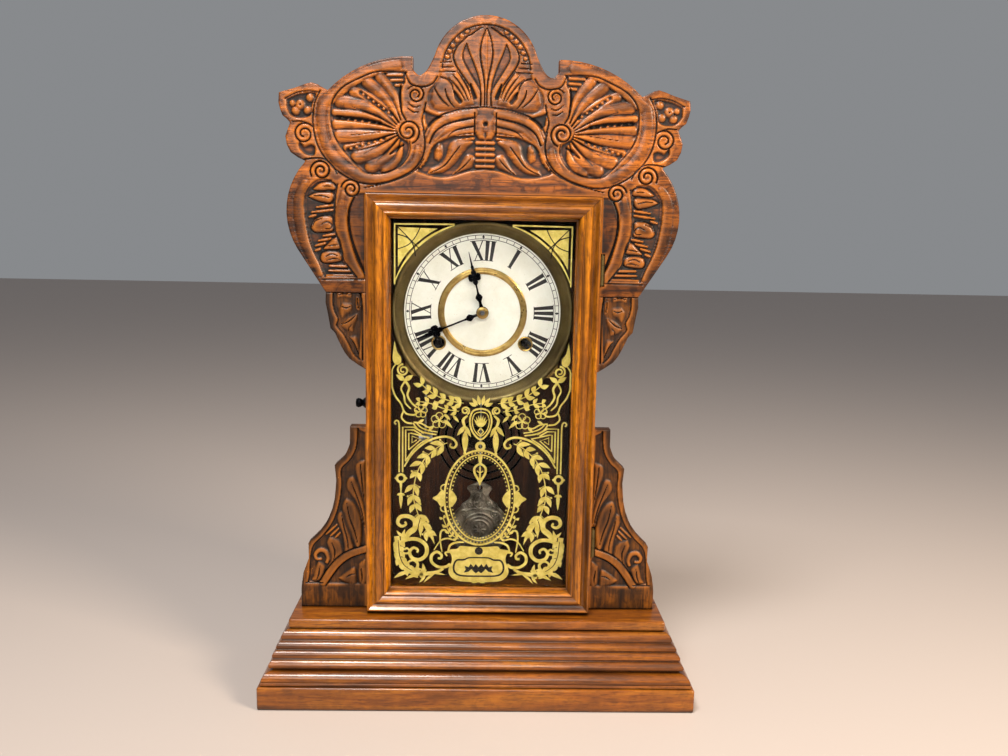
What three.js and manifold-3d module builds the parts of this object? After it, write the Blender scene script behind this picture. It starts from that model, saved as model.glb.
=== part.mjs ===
// An American pressed-oak "gingerbread" shelf clock: stepped and reeded base, glazed door,
// carved crest and side wings round a plain box case, and an eight-day two-train movement
// with lantern pinions, a pendulum hung in front of the plates and a coil gong.
//
// Millimetres. x runs to the right, y to the back and z up. The origin is the middle of the
// foot of the plinth. Front views are drawn in x and z.
import * as THREE from "three";
import { mergeVertices } from "three/addons/utils/BufferGeometryUtils.js";
import Module from "manifold-3d";

const wasm = await Module();
wasm.setup();

// ---------------------------------------------------------------- driving dimensions

const seat = 0.3; // clearance between neighbouring pieces

// base
const plinth = { width: 360.7, depth: 134, height: 19.8, arris: 2 };
const topBoard = { setback: 22.4, thickness: 8.2 };
const moulding = { height: 41, thickness: 16, foot: 2.5 };

// case: a plain box standing on the base
const caseBox = { width: 180, depth: 83.3, height: 350.1, side: 9, top: 8.7, back: 7.3 };

// crest and wings: boards glued to the front edges of the case. The crest and the upper wings
// are drawn with z from the top of the case, the lower wings with z from the base. All are
// drawn for a crest of the half width given, and then stretched to reach past the case.
const board = { thickness: 10, proud: 1.8, rim: 9 };
const crest = { overhang: 74, drawnHalf: 164 };
const dome = { radius: 42, centreZ: 97.5, rim: 8 };
const neck = { x: 47, z: 96.5 };
const notch = { x: 53, floorZ: 92.8, wallX: 58 };
const shell = { radius: 90.4, x: 60.4, z: 16.7, hubX: 61, hubZ: 50, hubRadius: 9, reach: 60 };
const ear = { radius: 57.2, x: 102, z: -14.9, footX: 128.3, footZ: -79.6 };
const upperWing = { lowerZ: -142.6, lipX: 96.5, cornerX: 124.8, cornerZ: -109 };
const lowerWing = { topX: 109.4, topZ: 158.8, footX: 152 };

// door: it laps the sides of the case and rises past its top
const door = { lap: 4.4, rise: 0.6, lift: 2, thickness: 16.9, member: 19.6 };
const glazing = { thickness: 2, rebate: 4, depth: 11, bead: 3 };
const doorGap = 0.3;

// hinges, knob and catch
const hinge = { height: 24, knuckle: 2.3, pin: 0.9, leaf: 1.2, width: 14, inset: 58.5 };
const knob = { above: 178.9, length: 9, neck: 2.6, head: 4.6 };
const catchPlate = { height: 16, width: 6, thickness: 1.2 };

// dial
const dial = { below: 95, clearance: 4.8, border: 10.8, lap: 7.4, thickness: 0.8, faceSetback: 12,
  rimSetback: 4 };
const panSheet = 1.1;
const centreRing = { inner: 31.8, outer: 37.3, height: 1.2 };
const winding = { x: 36.4, drop: 26, hole: 4.6, rim: 6.3, radius: 3, square: 4 };
const minuteHand = { short: 2.4, degrees: 247.5, ornament: 42, setback: 6.3 };
const hourHand = { short: 13.9, degrees: 346.5, ornament: 30, setback: 8.5 };
const handThickness = 0.8;
const cleat = { width: 12.7, depth: 10.5, height: 90 };

// movement: two brass plates held apart by pillars
const plates = { setback: 32, thickness: 1.6, between: 30.8, halfWidth: 66, top: 55, bottom: -58 };
const pillar = { radius: 2.8, x: 62, lowerZ: -52, upperZ: 49 };
const arborRadius = 1.3;
const pivotRadius = 0.8;
const wheelThickness = 1.4;

// distances of the wheels behind the inner face of the front plate
const layer = { escape: 1.9, third: 4.6, great: 7.3, spring: 10, second: 27.6 };

// distances of the hands' gears in front of the front plate
const front = { centreWheel: 1.4, minuteWheel: 4, hourWheel: 8.4, rod: 5 };

// teeth and pins
const teeth = { timeGreat: 72, timeSecond: 72, timeThird: 72, escape: 42, toCentre: 32, centre: 24 };
const strikeTeeth = { great: 78, second: 48, third: 72 };
const pins = { timeSecond: 6, timeThird: 6, escape: 6, strikeSecond: 6, strikeThird: 8, fly: 6 };
const motion = { cannon: 10, minute: 30, minutePinion: 8, hour: 32 };
const hammerPins = { count: 6, circle: 18, radius: 0.8, length: 1.6 };

// centres of the arbors seen from the front, from the centre of the dial
const at = {
  timeGreat: [winding.x, -winding.drop],
  timeSecond: [22.7, 3.45],
  timeThird: [-3.6, -9.4],
  escape: [0, -34.5],
  strikeGreat: [-winding.x, -winding.drop],
  strikeSecond: [-42, 6],
  strikeThird: [-19.6, 24.8],
  fly: [-1.7, 42.7],
  centre: [0, 0],
  minute: [-9, 15.6],
  hammer: [-50, 33.5],
  verge: [0, -17.5],
};
const escapeRadius = 13;
const palletClearance = 1;

// pendulum, springs and gong
const pendulum = { rod: 0.8, drop: 193, disc: 26, springWidth: 3, springLength: 13 };
const bobPanel = { thickness: 2, eyeAbove: 37.2, eyeRadius: 2.6, height: 42.5 };
const crutchDrop = 32.5;
const mainspring = { loops: 4, steps: 18, strip: 0.8, inner: 3.75, outer: 22, width: 15.6 };
const gong = { x: 0, below: 120, loops: 4, wire: 2.6, inner: 15, outer: 42, standoff: 8, block: 7 };
const hammer = { headRadius: 5, headLength: 12, wire: 1 };
const seatBoard = { width: 60, lowerZ: -60, upperZ: 58 };

// ---------------------------------------------------------------- planes worked out from them

const frontY = plinth.depth / 2 - caseBox.depth; // front edges of the case, front of the crest
const backY = plinth.depth / 2;
const topBoardUnder = plinth.height + moulding.height + 2 * seat;
const floorZ = topBoardUnder + topBoard.thickness; // top of the base
const topBoardHalf = plinth.width / 2 - topBoard.setback;
const caseHalf = caseBox.width / 2;
const caseInner = caseHalf - caseBox.side;
const caseTop = floorZ + seat + caseBox.height;
const boardBackY = frontY + board.thickness;
const doorBackY = frontY - doorGap;
const doorFrontY = doorBackY - door.thickness;
const doorHalf = caseHalf + door.lap;
const doorFoot = floorZ + door.lift;
const doorHead = caseTop + door.rise;
const hingeZ = [doorHead - hinge.inset, doorFoot + hinge.inset];
const knobZ = doorFoot + knob.above;
const boardInnerX = caseHalf + seat;
const stretch = (caseHalf + crest.overhang) / crest.drawnHalf;
const drawnInnerX = boardInnerX / stretch;
const dialZ = caseTop - dial.below;
const panRadius = caseInner - dial.clearance;
const faceRadius = panRadius - dial.border;
const plateFrontY = frontY + plates.setback;
const insideY = plateFrontY + plates.thickness; // inner face of the front plate
const backPlateY = insideY + plates.between;
const backboardY = backY - caseBox.back;
const gongY = backboardY - gong.standoff;
const gongZ = dialZ - gong.below;

// ---------------------------------------------------------------- small tools

const v2 = (x, z) => new THREE.Vector2(x, z);
const v3 = (x, y, z) => new THREE.Vector3(x, y, z);
const degrees = THREE.MathUtils.degToRad;
const distance = (a, b) => Math.hypot(b[0] - a[0], b[1] - a[1]);
const bearing = (a, b) => Math.atan2(b[1] - a[1], b[0] - a[0]);
const polar = (centre, radius, angle) =>
  v2(centre[0] + radius * Math.cos(angle), centre[1] + radius * Math.sin(angle));

// points on an arc from one angle to another, both ends included
function arc(centre, radius, from, to, steps) {
  const points = [];
  for (let i = 0; i <= steps; i++) {
    points.push(polar(centre, radius, from + ((to - from) * i) / steps));
  }
  return points;
}

function circle(centre, radius, sides) {
  return arc(centre, radius, 0, 2 * Math.PI, sides).slice(0, sides);
}

// a smooth line through a few points
function smooth(points, steps) {
  return new THREE.SplineCurve(points.map(([x, z]) => v2(x, z))).getPoints(steps);
}

function signedVolume(positions, index) {
  let sum = 0;
  const [a, b, c] = [v3(0, 0, 0), v3(0, 0, 0), v3(0, 0, 0)];
  for (let i = 0; i < index.length; i += 3) {
    a.fromArray(positions, 3 * index[i]);
    b.fromArray(positions, 3 * index[i + 1]);
    c.fromArray(positions, 3 * index[i + 2]);
    sum += a.dot(b.cross(c)) / 6;
  }
  return sum;
}

// the same geometry with its faces turned outwards where they point in
function facingOut(geometry) {
  const index = [...geometry.index.array];
  if (signedVolume(geometry.attributes.position.array, index) < 0) {
    geometry.setIndex(index.reverse());
  }
  return geometry;
}

// a solid through sections that all have the same number of points; the outline says how the
// two ends are closed
function loft(sections, outline) {
  const n = sections[0].length;
  const flat = outline ?? sections[0].map((p, i) => polar([0, 0], 1, (2 * Math.PI * i) / n));
  const positions = sections.flat().flatMap((p) => [p.x, p.y, p.z]);
  const index = [];
  for (let s = 0; s + 1 < sections.length; s++) {
    for (let i = 0; i < n; i++) {
      const [a, b] = [s * n + i, s * n + ((i + 1) % n)];
      index.push(a, b, b + n, a, b + n, a + n);
    }
  }
  const last = (sections.length - 1) * n;
  const turn = THREE.ShapeUtils.area(flat) > 0 ? 1 : -1;
  for (const [a, b, c] of THREE.ShapeUtils.triangulateShape([...flat], [])) {
    const [p, q] = turn > 0 ? [b, c] : [c, b];
    index.push(a, q, p, last + a, last + p, last + q);
  }
  const geometry = new THREE.BufferGeometry();
  geometry.setAttribute("position", new THREE.Float32BufferAttribute(positions, 3));
  geometry.setIndex(index);
  return facingOut(geometry);
}

// a front view given thickness from one y to another
function slab(outline, y0, y1, holes = []) {
  const shape = new THREE.Shape(outline);
  shape.holes = holes.map((points) => new THREE.Path(points));
  const geometry = new THREE.ExtrudeGeometry(shape, { depth: y1 - y0, bevelEnabled: false });
  return geometry.rotateX(Math.PI / 2).translate(0, y1, 0);
}

function box(x0, x1, y0, y1, z0, z1) {
  const geometry = new THREE.BoxGeometry(x1 - x0, y1 - y0, z1 - z0);
  return geometry.translate((x0 + x1) / 2, (y0 + y1) / 2, (z0 + z1) / 2);
}

// a round bar along y; the centre is in the front view
function bar([x, z], radius, y0, y1, sides = 12) {
  const geometry = new THREE.CylinderGeometry(radius, radius, y1 - y0, sides);
  return geometry.translate(x, (y0 + y1) / 2, z);
}

function upright(x, y, radius, z0, z1, sides = 12) {
  const geometry = new THREE.CylinderGeometry(radius, radius, z1 - z0, sides);
  return geometry.rotateX(Math.PI / 2).translate(x, y, (z0 + z1) / 2);
}

// a shape turned about a line along y; the profile holds [radius, y] pairs
function turned([x, z], profile, sides) {
  const points = profile.map(([r, y]) => v2(r, y));
  return facingOut(new THREE.LatheGeometry(points, sides)).translate(x, 0, z);
}

// a wire bent through points, with its section kept square to its run
function wire(points, radius, sides = 6) {
  const sections = points.map((p, i) => {
    const before = points[Math.max(i - 1, 0)];
    const after = points[Math.min(i + 1, points.length - 1)];
    const run = after.clone().sub(before).normalize();
    const aside = Math.abs(run.y) > 0.9 ? v3(1, 0, 0) : v3(0, 1, 0);
    const across = aside.cross(run).normalize();
    const up = run.clone().cross(across);
    return circle([0, 0], radius, sides).map((c) =>
      p.clone().addScaledVector(across, c.x).addScaledVector(up, c.y));
  });
  return loft(sections);
}

function toSolid(geometry) {
  const bare = geometry.clone();
  bare.deleteAttribute("normal");
  bare.deleteAttribute("uv");
  const merged = mergeVertices(bare, 1e-4);
  return new wasm.Manifold(new wasm.Mesh({
    numProp: 3,
    vertProperties: new Float32Array(merged.attributes.position.array),
    triVerts: new Uint32Array(merged.index.array),
  }));
}

function fromSolid(solid) {
  const mesh = solid.getMesh();
  const geometry = new THREE.BufferGeometry();
  geometry.setAttribute("position", new THREE.BufferAttribute(mesh.vertProperties, 3));
  geometry.setIndex(new THREE.BufferAttribute(mesh.triVerts, 1));
  return geometry;
}

function joined(...geometries) {
  return fromSolid(geometries.map(toSolid).reduce((sum, next) => sum.add(next)));
}

function cut(geometry, ...tools) {
  return fromSolid(tools.map(toSolid).reduce((rest, tool) => rest.subtract(tool), toSolid(geometry)));
}

const mirrored = (points) => points.map((p) => v2(-p.x, p.y)).reverse();

function mirrorGeometry(geometry) {
  const copy = geometry.clone().scale(-1, 1, 1);
  const bare = mergeVertices(withoutExtras(copy), 1e-4);
  bare.setIndex([...bare.index.array].reverse());
  return bare;
}

function withoutExtras(geometry) {
  geometry.deleteAttribute("normal");
  geometry.deleteAttribute("uv");
  return geometry;
}

// ---------------------------------------------------------------- the group and its finishes

const clock = new THREE.Group();

const finishes = {
  crestOak: [0x8a5230, 0.42, 0],
  wingOak: [0x71401f, 0.45, 0],
  doorOak: [0xa8642a, 0.38, 0],
  baseOak: [0x84481f, 0.4, 0],
  caseOak: [0x5c3218, 0.6, 0],
  glass: [0xdfe6e4, 0.05, 0],
  dialWhite: [0xeeeade, 0.5, 0],
  agedBrass: [0x9a7a46, 0.42, 1],
  brass: [0xc09a4e, 0.35, 1],
  steel: [0x77787c, 0.4, 1],
  blackSteel: [0x17171a, 0.45, 1],
  nickel: [0x8d8c86, 0.35, 1],
  iron: [0x2e2b2a, 0.7, 1],
};

function add(name, geometry, finish) {
  const [color, roughness, metalness] = finishes[finish];
  const material = new THREE.MeshStandardMaterial({ color, roughness, metalness });
  const mesh = new THREE.Mesh(geometry, material);
  mesh.name = name;
  clock.add(mesh);
}

// ---------------------------------------------------------------- base

// reeds of the sloping base moulding, from the plinth up: [height, stand-off] pairs, where
// the stand-off is measured from under the top board outwards
function mouldingOutline() {
  const top = moulding.height;
  const slope = topBoard.setback - moulding.foot;
  const reeds = [[0.0, 0.22], [0.31, 0.44], [0.44, 0.62], [0.62, 0.79], [0.79, 1]];
  const outline = [v2(-moulding.thickness, 0), v2(slope, 0)];
  for (const [low, high] of reeds) {
    const [z0, z1] = [low * top, high * top];
    const [out0, out1] = [slope * (1 - low) ** 1.2, slope * (1 - high) ** 1.2];
    const bulge = (z1 - z0) * 0.28;
    outline.push(v2(out0, z0 + 0.4));
    outline.push(v2(out0 + bulge * 0.5 - (out0 - out1) * 0.25, z0 + (z1 - z0) * 0.35));
    outline.push(v2(out0 + bulge * 0.5 - (out0 - out1) * 0.6, z0 + (z1 - z0) * 0.72));
    outline.push(v2(out1 - 0.6, z1 - 0.4));
  }
  outline.push(v2(0, top), v2(-moulding.thickness, top));
  return outline;
}

function addBase() {
  const half = plinth.width / 2;
  const foot = plinth.height - plinth.arris;
  const corners = (inset) => [v2(-half + inset, -backY + inset), v2(half - inset, -backY + inset),
    v2(half - inset, backY), v2(-half + inset, backY)];
  const level = (inset, z) => corners(inset).map((p) => v3(p.x, p.y, z));
  const edge = [level(0, 0), level(0, foot), level(plinth.arris, plinth.height)];
  add("base_plinth", loft(edge, corners(0)), "baseOak");

  const outline = mouldingOutline();
  const z = plinth.height + seat;
  const mitre = seat / Math.SQRT2;
  const frontRun = -backY + topBoard.setback;
  const end = (sign) => outline.map((p) =>
    v3(sign * (topBoardHalf + p.x - mitre), frontRun - p.x, z + p.y));
  add("base_moulding_front", loft([end(-1), end(1)], outline), "baseOak");
  const nearEnd = outline.map((p) => v3(topBoardHalf + p.x, frontRun - p.x + mitre, z + p.y));
  const farEnd = outline.map((p) => v3(topBoardHalf + p.x, backY, z + p.y));
  const returned = loft([nearEnd, farEnd], outline);
  add("base_moulding_right", returned, "baseOak");
  add("base_moulding_left", mirrorGeometry(returned), "baseOak");

  const topCorners = [v2(-topBoardHalf, frontRun), v2(topBoardHalf, frontRun),
    v2(topBoardHalf, backY), v2(-topBoardHalf, backY)];
  const rounded = [[1.2, 0], [0, 1.6], [0, topBoard.thickness - 2.4], [2.4, topBoard.thickness]];
  const levels = rounded.map(([inset, up]) => topCorners.map((p) =>
    v3(p.x - Math.sign(p.x) * inset, p.y < 0 ? p.y + inset : p.y, topBoardUnder + up)));
  add("base_top_board", loft(levels, topCorners), "baseOak");
}

// ---------------------------------------------------------------- case

const hingeAxis = { x: doorHalf + seat + hinge.knuckle, y: frontY - seat - hinge.knuckle };

// pocket for a hinge leaf, cut into whatever lies behind the closed door
function leafPocket(z) {
  const half = hinge.height / 2 + seat;
  const [x0, x1] = [doorHalf - hinge.width - seat, hingeAxis.x + seat];
  return box(x0, x1, frontY - 1, frontY + hinge.leaf + seat, z - half, z + half);
}

function addCase() {
  const foot = floorZ + seat;
  const under = caseTop - caseBox.top - seat;
  const catchHalf = catchPlate.height / 2 + seat;
  const catchPocket = box(-caseHalf + 1, -caseHalf + 1 + catchPlate.width + 2 * seat, frontY - 1,
    frontY + catchPlate.thickness + seat, knobZ - catchHalf, knobZ + catchHalf);
  const left = box(-caseHalf, -caseInner, frontY, backboardY, foot, under);
  const right = box(caseInner, caseHalf, frontY, backboardY, foot, under);
  add("case_side_left", cut(left, catchPocket), "caseOak");
  add("case_side_right", cut(right, ...hingeZ.map(leafPocket)), "caseOak");
  add("case_top_board", box(-caseHalf, caseHalf, frontY, backY, under + seat, caseTop), "caseOak");
  add("case_back_board", box(-caseHalf, caseHalf, backboardY + seat, backY, foot, under), "caseOak");
}

// ---------------------------------------------------------------- crest and wings

// a drawn board stretched to the case and lifted to its place
const fitted = (geometry, z) => geometry.clone().scale(stretch, 1, 1).translate(0, 0, z);

// the carving is planed away where the door and its hinge knuckles lie
const planedX = hingeAxis.x + hinge.knuckle + seat;
const planed = box(-planedX, planedX, frontY - 2 * board.proud, frontY, floorZ, doorHead + seat);

// a raised band along a line in the front view, thinner towards its top
function band(points, widths, height, y = frontY) {
  const sections = points.map((p, i) => {
    const before = points[Math.max(i - 1, 0)];
    const after = points[Math.min(i + 1, points.length - 1)];
    const along = after.clone().sub(before).normalize();
    const half = (Array.isArray(widths) ? widths[i] : widths) / 2;
    const place = (side, up) =>
      v3(p.x - along.y * side * half, y - up, p.y + along.x * side * half);
    return [place(-1, -0.8), place(1, -0.8), place(0.55, height), place(-0.55, height)];
  });
  return loft(sections);
}

// widths that swell from the ends of a band to its middle
const swelling = (count, ends, middle) =>
  Array.from({ length: count }, (_, i) => ends + (middle - ends) * Math.sin((Math.PI * i) / (count - 1)));

const boss = (x, z, radius, height, sides = 10) =>
  turned([x, z], [[0, frontY + 0.8], [radius, frontY + 0.8], [radius * 0.7, frontY - height],
    [0, frontY - height]], sides);

function crestOutline() {
  const domeArc = arc([0, dome.centreZ], dome.radius, degrees(90), degrees(164), 12);
  const left = [
    ...domeArc,
    ...smooth([[-42.5, 104.5], [-neck.x, neck.z], [-notch.x, notch.floorZ], [-notch.wallX, neck.z + 1]], 7),
    ...arc([-shell.x, shell.z], shell.radius, degrees(88.5), degrees(135.6), 9),
    ...smooth([[-130, 82.5], [-138, 85.6], [-150, 81.5], [-163.5, 77.5]], 6),
    ...smooth([[-164, 70], [-161, 60], [-155, 54.5], [-159, 44], [-155, 31.5], [-143.5, 25]], 10),
    ...arc([-ear.x, ear.z], ear.radius, degrees(137), degrees(212), 10),
    v2(-ear.footX, ear.footZ),
    v2(-drawnInnerX, ear.footZ),
    v2(-drawnInnerX, seat),
  ];
  return [...left, ...mirrored(left.slice(1))];
}

// the carving on the left half of the crest, as raised bands and bosses
function crestCarving() {
  const height = board.proud;
  const hub = [-shell.hubX, shell.hubZ];
  const parts = [];
  const inset = board.rim / 2 + 1;

  // rim of the dome, the neck and the shell, ending in the hub's volute
  parts.push(band(arc([0, dome.centreZ], dome.radius - dome.rim / 2 - 0.5, degrees(92), degrees(160), 7),
    dome.rim, height));
  const rim = [
    ...arc([-shell.x, shell.z], shell.radius - inset, degrees(91), degrees(128), 6),
    ...smooth([[-124, 74], [-129, 62], [-127, 46], [-118, 31], [-103, 19], [-88, 14],
      [-72, 15], [-58, 25], [-52, 38], [-52.5, 50]], 12),
  ];
  parts.push(band(rim, board.rim, height));
  parts.push(boss(...hub, shell.hubRadius, height + 0.5));

  // ribs of the shell, fanned from the hub
  const ribs = 9;
  for (let i = 0; i < ribs; i++) {
    const angle = degrees(98 + (i * 152) / (ribs - 1));
    const reach = shell.reach * (1 - 0.42 * (i / (ribs - 1)) ** 2) - (i === 0 ? 18 : 4);
    const bow = degrees(7);
    const line = [0.2, 0.6, 1].map((t) => polar(hub, reach * t, angle - bow * Math.sin(Math.PI * t)));
    parts.push(band(line, [2.4, 6, 7], height * 0.8));
  }

  // lance and flame leaves in the dome
  for (const [x, lean, top] of [[-7.5, 3, 120], [-16, 7, 110], [-26, 9, 98]]) {
    parts.push(band(smooth([[x + lean, 72], [x, 85], [x + 1, top]], 4), swelling(5, 1.6, 5.5), height));
  }

  // the two arches that spring from the volutes to the keystone
  parts.push(band(smooth([[-47, 39], [-40, 50], [-25, 59.5], [-7, 64]], 5), 6, height));
  parts.push(band(smooth([[-42, 35], [-33, 44], [-20, 51], [-8, 54.5]], 4), 4.5, height * 0.8));

  // leaf sprays between the arches and the plain lower band
  parts.push(band(smooth([[-52, 18], [-36, 23], [-22, 32], [-9, 41]], 4), swelling(5, 2, 8), height));
  parts.push(band(smooth([[-34, 17], [-20, 21], [-8, 27]], 4), swelling(5, 2, 6), height * 0.8));

  // corner curl, scroll and the ear's S-shaped stem
  parts.push(band(smooth([[-131, 79], [-142, 80], [-157, 73], [-156, 62]], 5), 5.5, height));
  parts.push(boss(-144, 67, 6, height));
  parts.push(boss(-144, 45.5, 6.5, height + 0.4));
  parts.push(band(smooth([[-152, 50], [-154, 40], [-146, 30.5], [-132, 27], [-121, 20]], 6), 5.5, height));
  parts.push(boss(-131, 18, 6.5, height + 0.4));
  parts.push(boss(-104, 4, 5.5, height));
  parts.push(band(smooth([[-104, 8.5], [-114, 1], [-119, -18], [-115, -40], [-104, -62]], 7),
    swelling(8, 6, 11), height * 0.6));
  parts.push(band(arc([-ear.x, ear.z], ear.radius - inset, degrees(140), degrees(208), 7), board.rim - 2,
    height));
  for (const [z, x] of [[-2, -136], [-28, -137], [-48, -129]]) {
    parts.push(boss(x, z, 8, height, 8));
  }
  return parts;
}

function addCrest() {
  const outline = slab(crestOutline(), frontY, boardBackY);
  const carving = crestCarving();
  const keystone = slab([v2(-8, 67), v2(8, 67), v2(7, 54), v2(4.5, 47.5), v2(0, 45.5), v2(-4.5, 47.5),
    v2(-7, 54)].reverse(), frontY - board.proud - 0.4, frontY + 1);
  const lance = band([v2(0, 70), v2(0, 95), v2(0, 120), v2(0, 131)], [3, 7, 6, 1.6], board.proud);
  const ladder = [39, 33, 27].map((z) =>
    slab([v2(-7, z - 1.8), v2(7, z - 1.8), v2(7, z + 1.8), v2(-7, z + 1.8)], frontY - board.proud * 0.8,
      frontY + 1));
  const footBand = [-1, 1].map((side) => {
    const [near, far] = [planedX / stretch + 3, ear.footX - 4];
    const [x0, x1] = side < 0 ? [-far, -near] : [near, far];
    return slab([v2(x0, ear.footZ + 2), v2(x1, ear.footZ + 2), v2(x1, ear.footZ + 8), v2(x0, ear.footZ + 8)],
      frontY - board.proud * 0.6, frontY + 1);
  });
  const solid = joined(outline, ...carving, ...carving.map(mirrorGeometry), keystone, lance, ...ladder,
    ...footBand);
  add("crest_board", cut(fitted(solid, caseTop), planed, leafPocket(hingeZ[0])), "crestOak");
}

function wingOutlines() {
  const upper = [
    v2(-drawnInnerX, ear.footZ - seat),
    v2(-ear.footX, ear.footZ - seat),
    ...smooth([[-128.6, -88], [-127, -96], [-upperWing.cornerX, upperWing.cornerZ]], 4),
    ...smooth([[-121, -113], [-116, -124], [-109.5, -134], [-upperWing.lipX, upperWing.lowerZ]], 6),
    v2(-drawnInnerX, upperWing.lowerZ),
  ];
  const lower = [
    v2(-drawnInnerX, lowerWing.topZ),
    v2(-lowerWing.topX, lowerWing.topZ),
    ...smooth([[-109.6, 144.1], [-114, 133.6], [-122.5, 125.1]], 5),
    ...smooth([[-121.3, 112.1], [-124, 90.1], [-133, 70.1], [-145.5, 56.6]], 8),
    ...smooth([[-145.3, 43.1], [-150, 30.1], [-lowerWing.footX, 16.1]], 4),
    v2(-lowerWing.footX, 0),
    v2(-drawnInnerX, 0),
  ];
  return { upper, lower };
}

function addWings() {
  const { upper, lower } = wingOutlines();
  const height = board.proud;
  const upperCarving = [
    band(smooth([[-124.5, -83], [-123.5, -96], [-119, -111], [-110, -128], [-97.5, -138.5]], 9), 5.5, height),
    band(smooth([[-109, -84], [-112, -95], [-108, -110], [-104, -128]], 6), swelling(7, 2, 9), height * 0.8),
  ];
  const lowerCarving = [
    band(smooth([[-105.5, 156.1], [-107, 138.1], [-118, 123.1]], 5), 5.5, height),
    band(smooth([[-118, 120.1], [-119, 100.1], [-126, 78.1], [-141, 57.1]], 7), 5.5, height),
    band(smooth([[-139, 22.1], [-128, 36.1], [-118, 45.1], [-104, 51.1]], 5), 5.5, height),
    band(smooth([[-103, 126.1], [-108, 100.1], [-110, 70.1], [-104, 56.1]], 6), swelling(7, 2, 9), height * 0.8),
    band(smooth([[-114, 80.1], [-121, 62.1], [-131, 38.1]], 4), swelling(5, 2, 9), height * 0.8),
    boss(-111, 31.1, 8, height * 0.8, 10),
  ];
  const upperSolid = joined(slab(upper, frontY, boardBackY), ...upperCarving);
  const lowerSolid = joined(slab(lower, frontY, boardBackY), ...lowerCarving);
  const upperBoard = cut(fitted(upperSolid, caseTop), planed);
  const lowerBoard = cut(fitted(lowerSolid, floorZ + seat), planed);
  add("wing_upper_left", upperBoard, "wingOak");
  add("wing_lower_left", lowerBoard, "wingOak");
  add("wing_upper_right", mirrorGeometry(upperBoard), "wingOak");
  add("wing_lower_right", cut(mirrorGeometry(lowerBoard), leafPocket(hingeZ[1])), "wingOak");
}

// ---------------------------------------------------------------- door

// section of a door member: [from the outer edge inwards, behind the door's front]
function memberOutline() {
  const full = door.member;
  const back = door.thickness;
  return [
    [0, back], [0, 3.2], [1.1, 2], [3.4, 3.1], [5.2, 2.2], [6, 0.6], [8, 0], [9.8, 0.7], [10.8, 2.6],
    [13.2, 2.9], [15.6, 4.4], [17.4, 7.2], [full, 8.4], [full, glazing.depth],
    [full - glazing.rebate, glazing.depth], [full - glazing.rebate, back],
  ].map(([inward, behind]) => v2(inward, behind));
}

function addDoor() {
  const outline = memberOutline();
  const mitre = seat / Math.SQRT2 / 2;
  const y = (p) => doorFrontY + p.y;
  const stile = (side) => {
    const x = (p) => side * (doorHalf - p.x);
    return loft([
      outline.map((p) => v3(x(p), y(p), doorFoot + p.x + mitre)),
      outline.map((p) => v3(x(p), y(p), doorHead - p.x - mitre)),
    ], outline);
  };
  const rail = (edge, side) => loft([-1, 1].map((end) =>
    outline.map((p) => v3(end * (doorHalf - p.x - mitre), y(p), edge + side * p.x))), outline);

  const leafPockets = hingeZ.map((z) => {
    const half = hinge.height / 2 + seat;
    return box(doorHalf - hinge.width - seat, doorHalf + 1, doorBackY - hinge.leaf - seat, doorBackY + 1,
      z - half, z + half);
  });
  const knobHole = new THREE.CylinderGeometry(1.8, 1.8, 14, 12).rotateZ(Math.PI / 2)
    .translate(-doorHalf + 6, doorBackY - door.thickness / 2, knobZ);
  add("door_stile_left", cut(stile(-1), knobHole), "doorOak");
  add("door_stile_right", cut(stile(1), ...leafPockets), "doorOak");
  add("door_rail_top", rail(doorHead, -1), "doorOak");
  add("door_rail_bottom", rail(doorFoot, 1), "doorOak");

  const edge = door.member - glazing.rebate + seat;
  const glassY = doorFrontY + glazing.depth + seat;
  const pane = [doorHalf - edge, doorFoot + edge, doorHead - edge];
  add("door_glass", box(-pane[0], pane[0], glassY, glassY + glazing.thickness, pane[1], pane[2]), "glass");
  const beadY = glassY + glazing.thickness + seat;
  const inner = glazing.rebate - seat;
  const outer = box(-pane[0], pane[0], beadY, beadY + glazing.bead, pane[1], pane[2]);
  const opening = box(-pane[0] + inner, pane[0] - inner, beadY - 1, beadY + glazing.bead + 1,
    pane[1] + inner, pane[2] - inner);
  add("door_glass_bead", cut(outer, opening), "doorOak");
}

// ---------------------------------------------------------------- hinges, knob and catch

function addHinges() {
  const third = hinge.height / 3;
  const pinHole = hinge.pin + seat;
  hingeZ.forEach((z, i) => {
    const name = i === 0 ? "hinge_upper" : "hinge_lower";
    const [low, high] = [z - hinge.height / 2, z + hinge.height / 2];
    const leafX = doorHalf - hinge.width;
    const knuckle = (z0, z1) => upright(hingeAxis.x, hingeAxis.y, hinge.knuckle, z0, z1, 12);
    const pin = upright(hingeAxis.x, hingeAxis.y, hinge.pin, low - 1, high + 1, 8);

    // the case leaf carries the outer knuckles and the pin
    const plate = box(leafX, hingeAxis.x, frontY, frontY + hinge.leaf, low, high);
    const web = (z0, z1) => box(hingeAxis.x - hinge.leaf, hingeAxis.x, hingeAxis.y, frontY + hinge.leaf / 2,
      z0, z1);
    const ends = [[low, low + third - seat], [high - third + seat, high]];
    add(`${name}_case_leaf`, joined(plate, pin, ...ends.map(([a, b]) => knuckle(a, b)),
      ...ends.map(([a, b]) => web(a, b))), "agedBrass");

    // the door leaf carries the middle knuckle, which turns on the pin
    const [a, b] = [low + third, high - third];
    const doorPlate = box(leafX, doorHalf - seat, doorBackY - hinge.leaf, doorBackY, low, high);
    const arm = box(doorHalf - 2, hingeAxis.x, doorBackY - hinge.leaf, doorBackY, a, b);
    const leaf = joined(doorPlate, arm, knuckle(a, b));
    add(`${name}_door_leaf`, cut(leaf, upright(hingeAxis.x, hingeAxis.y, pinHole, a - 1, b + 1, 8)),
      "agedBrass");
  });
}

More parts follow.
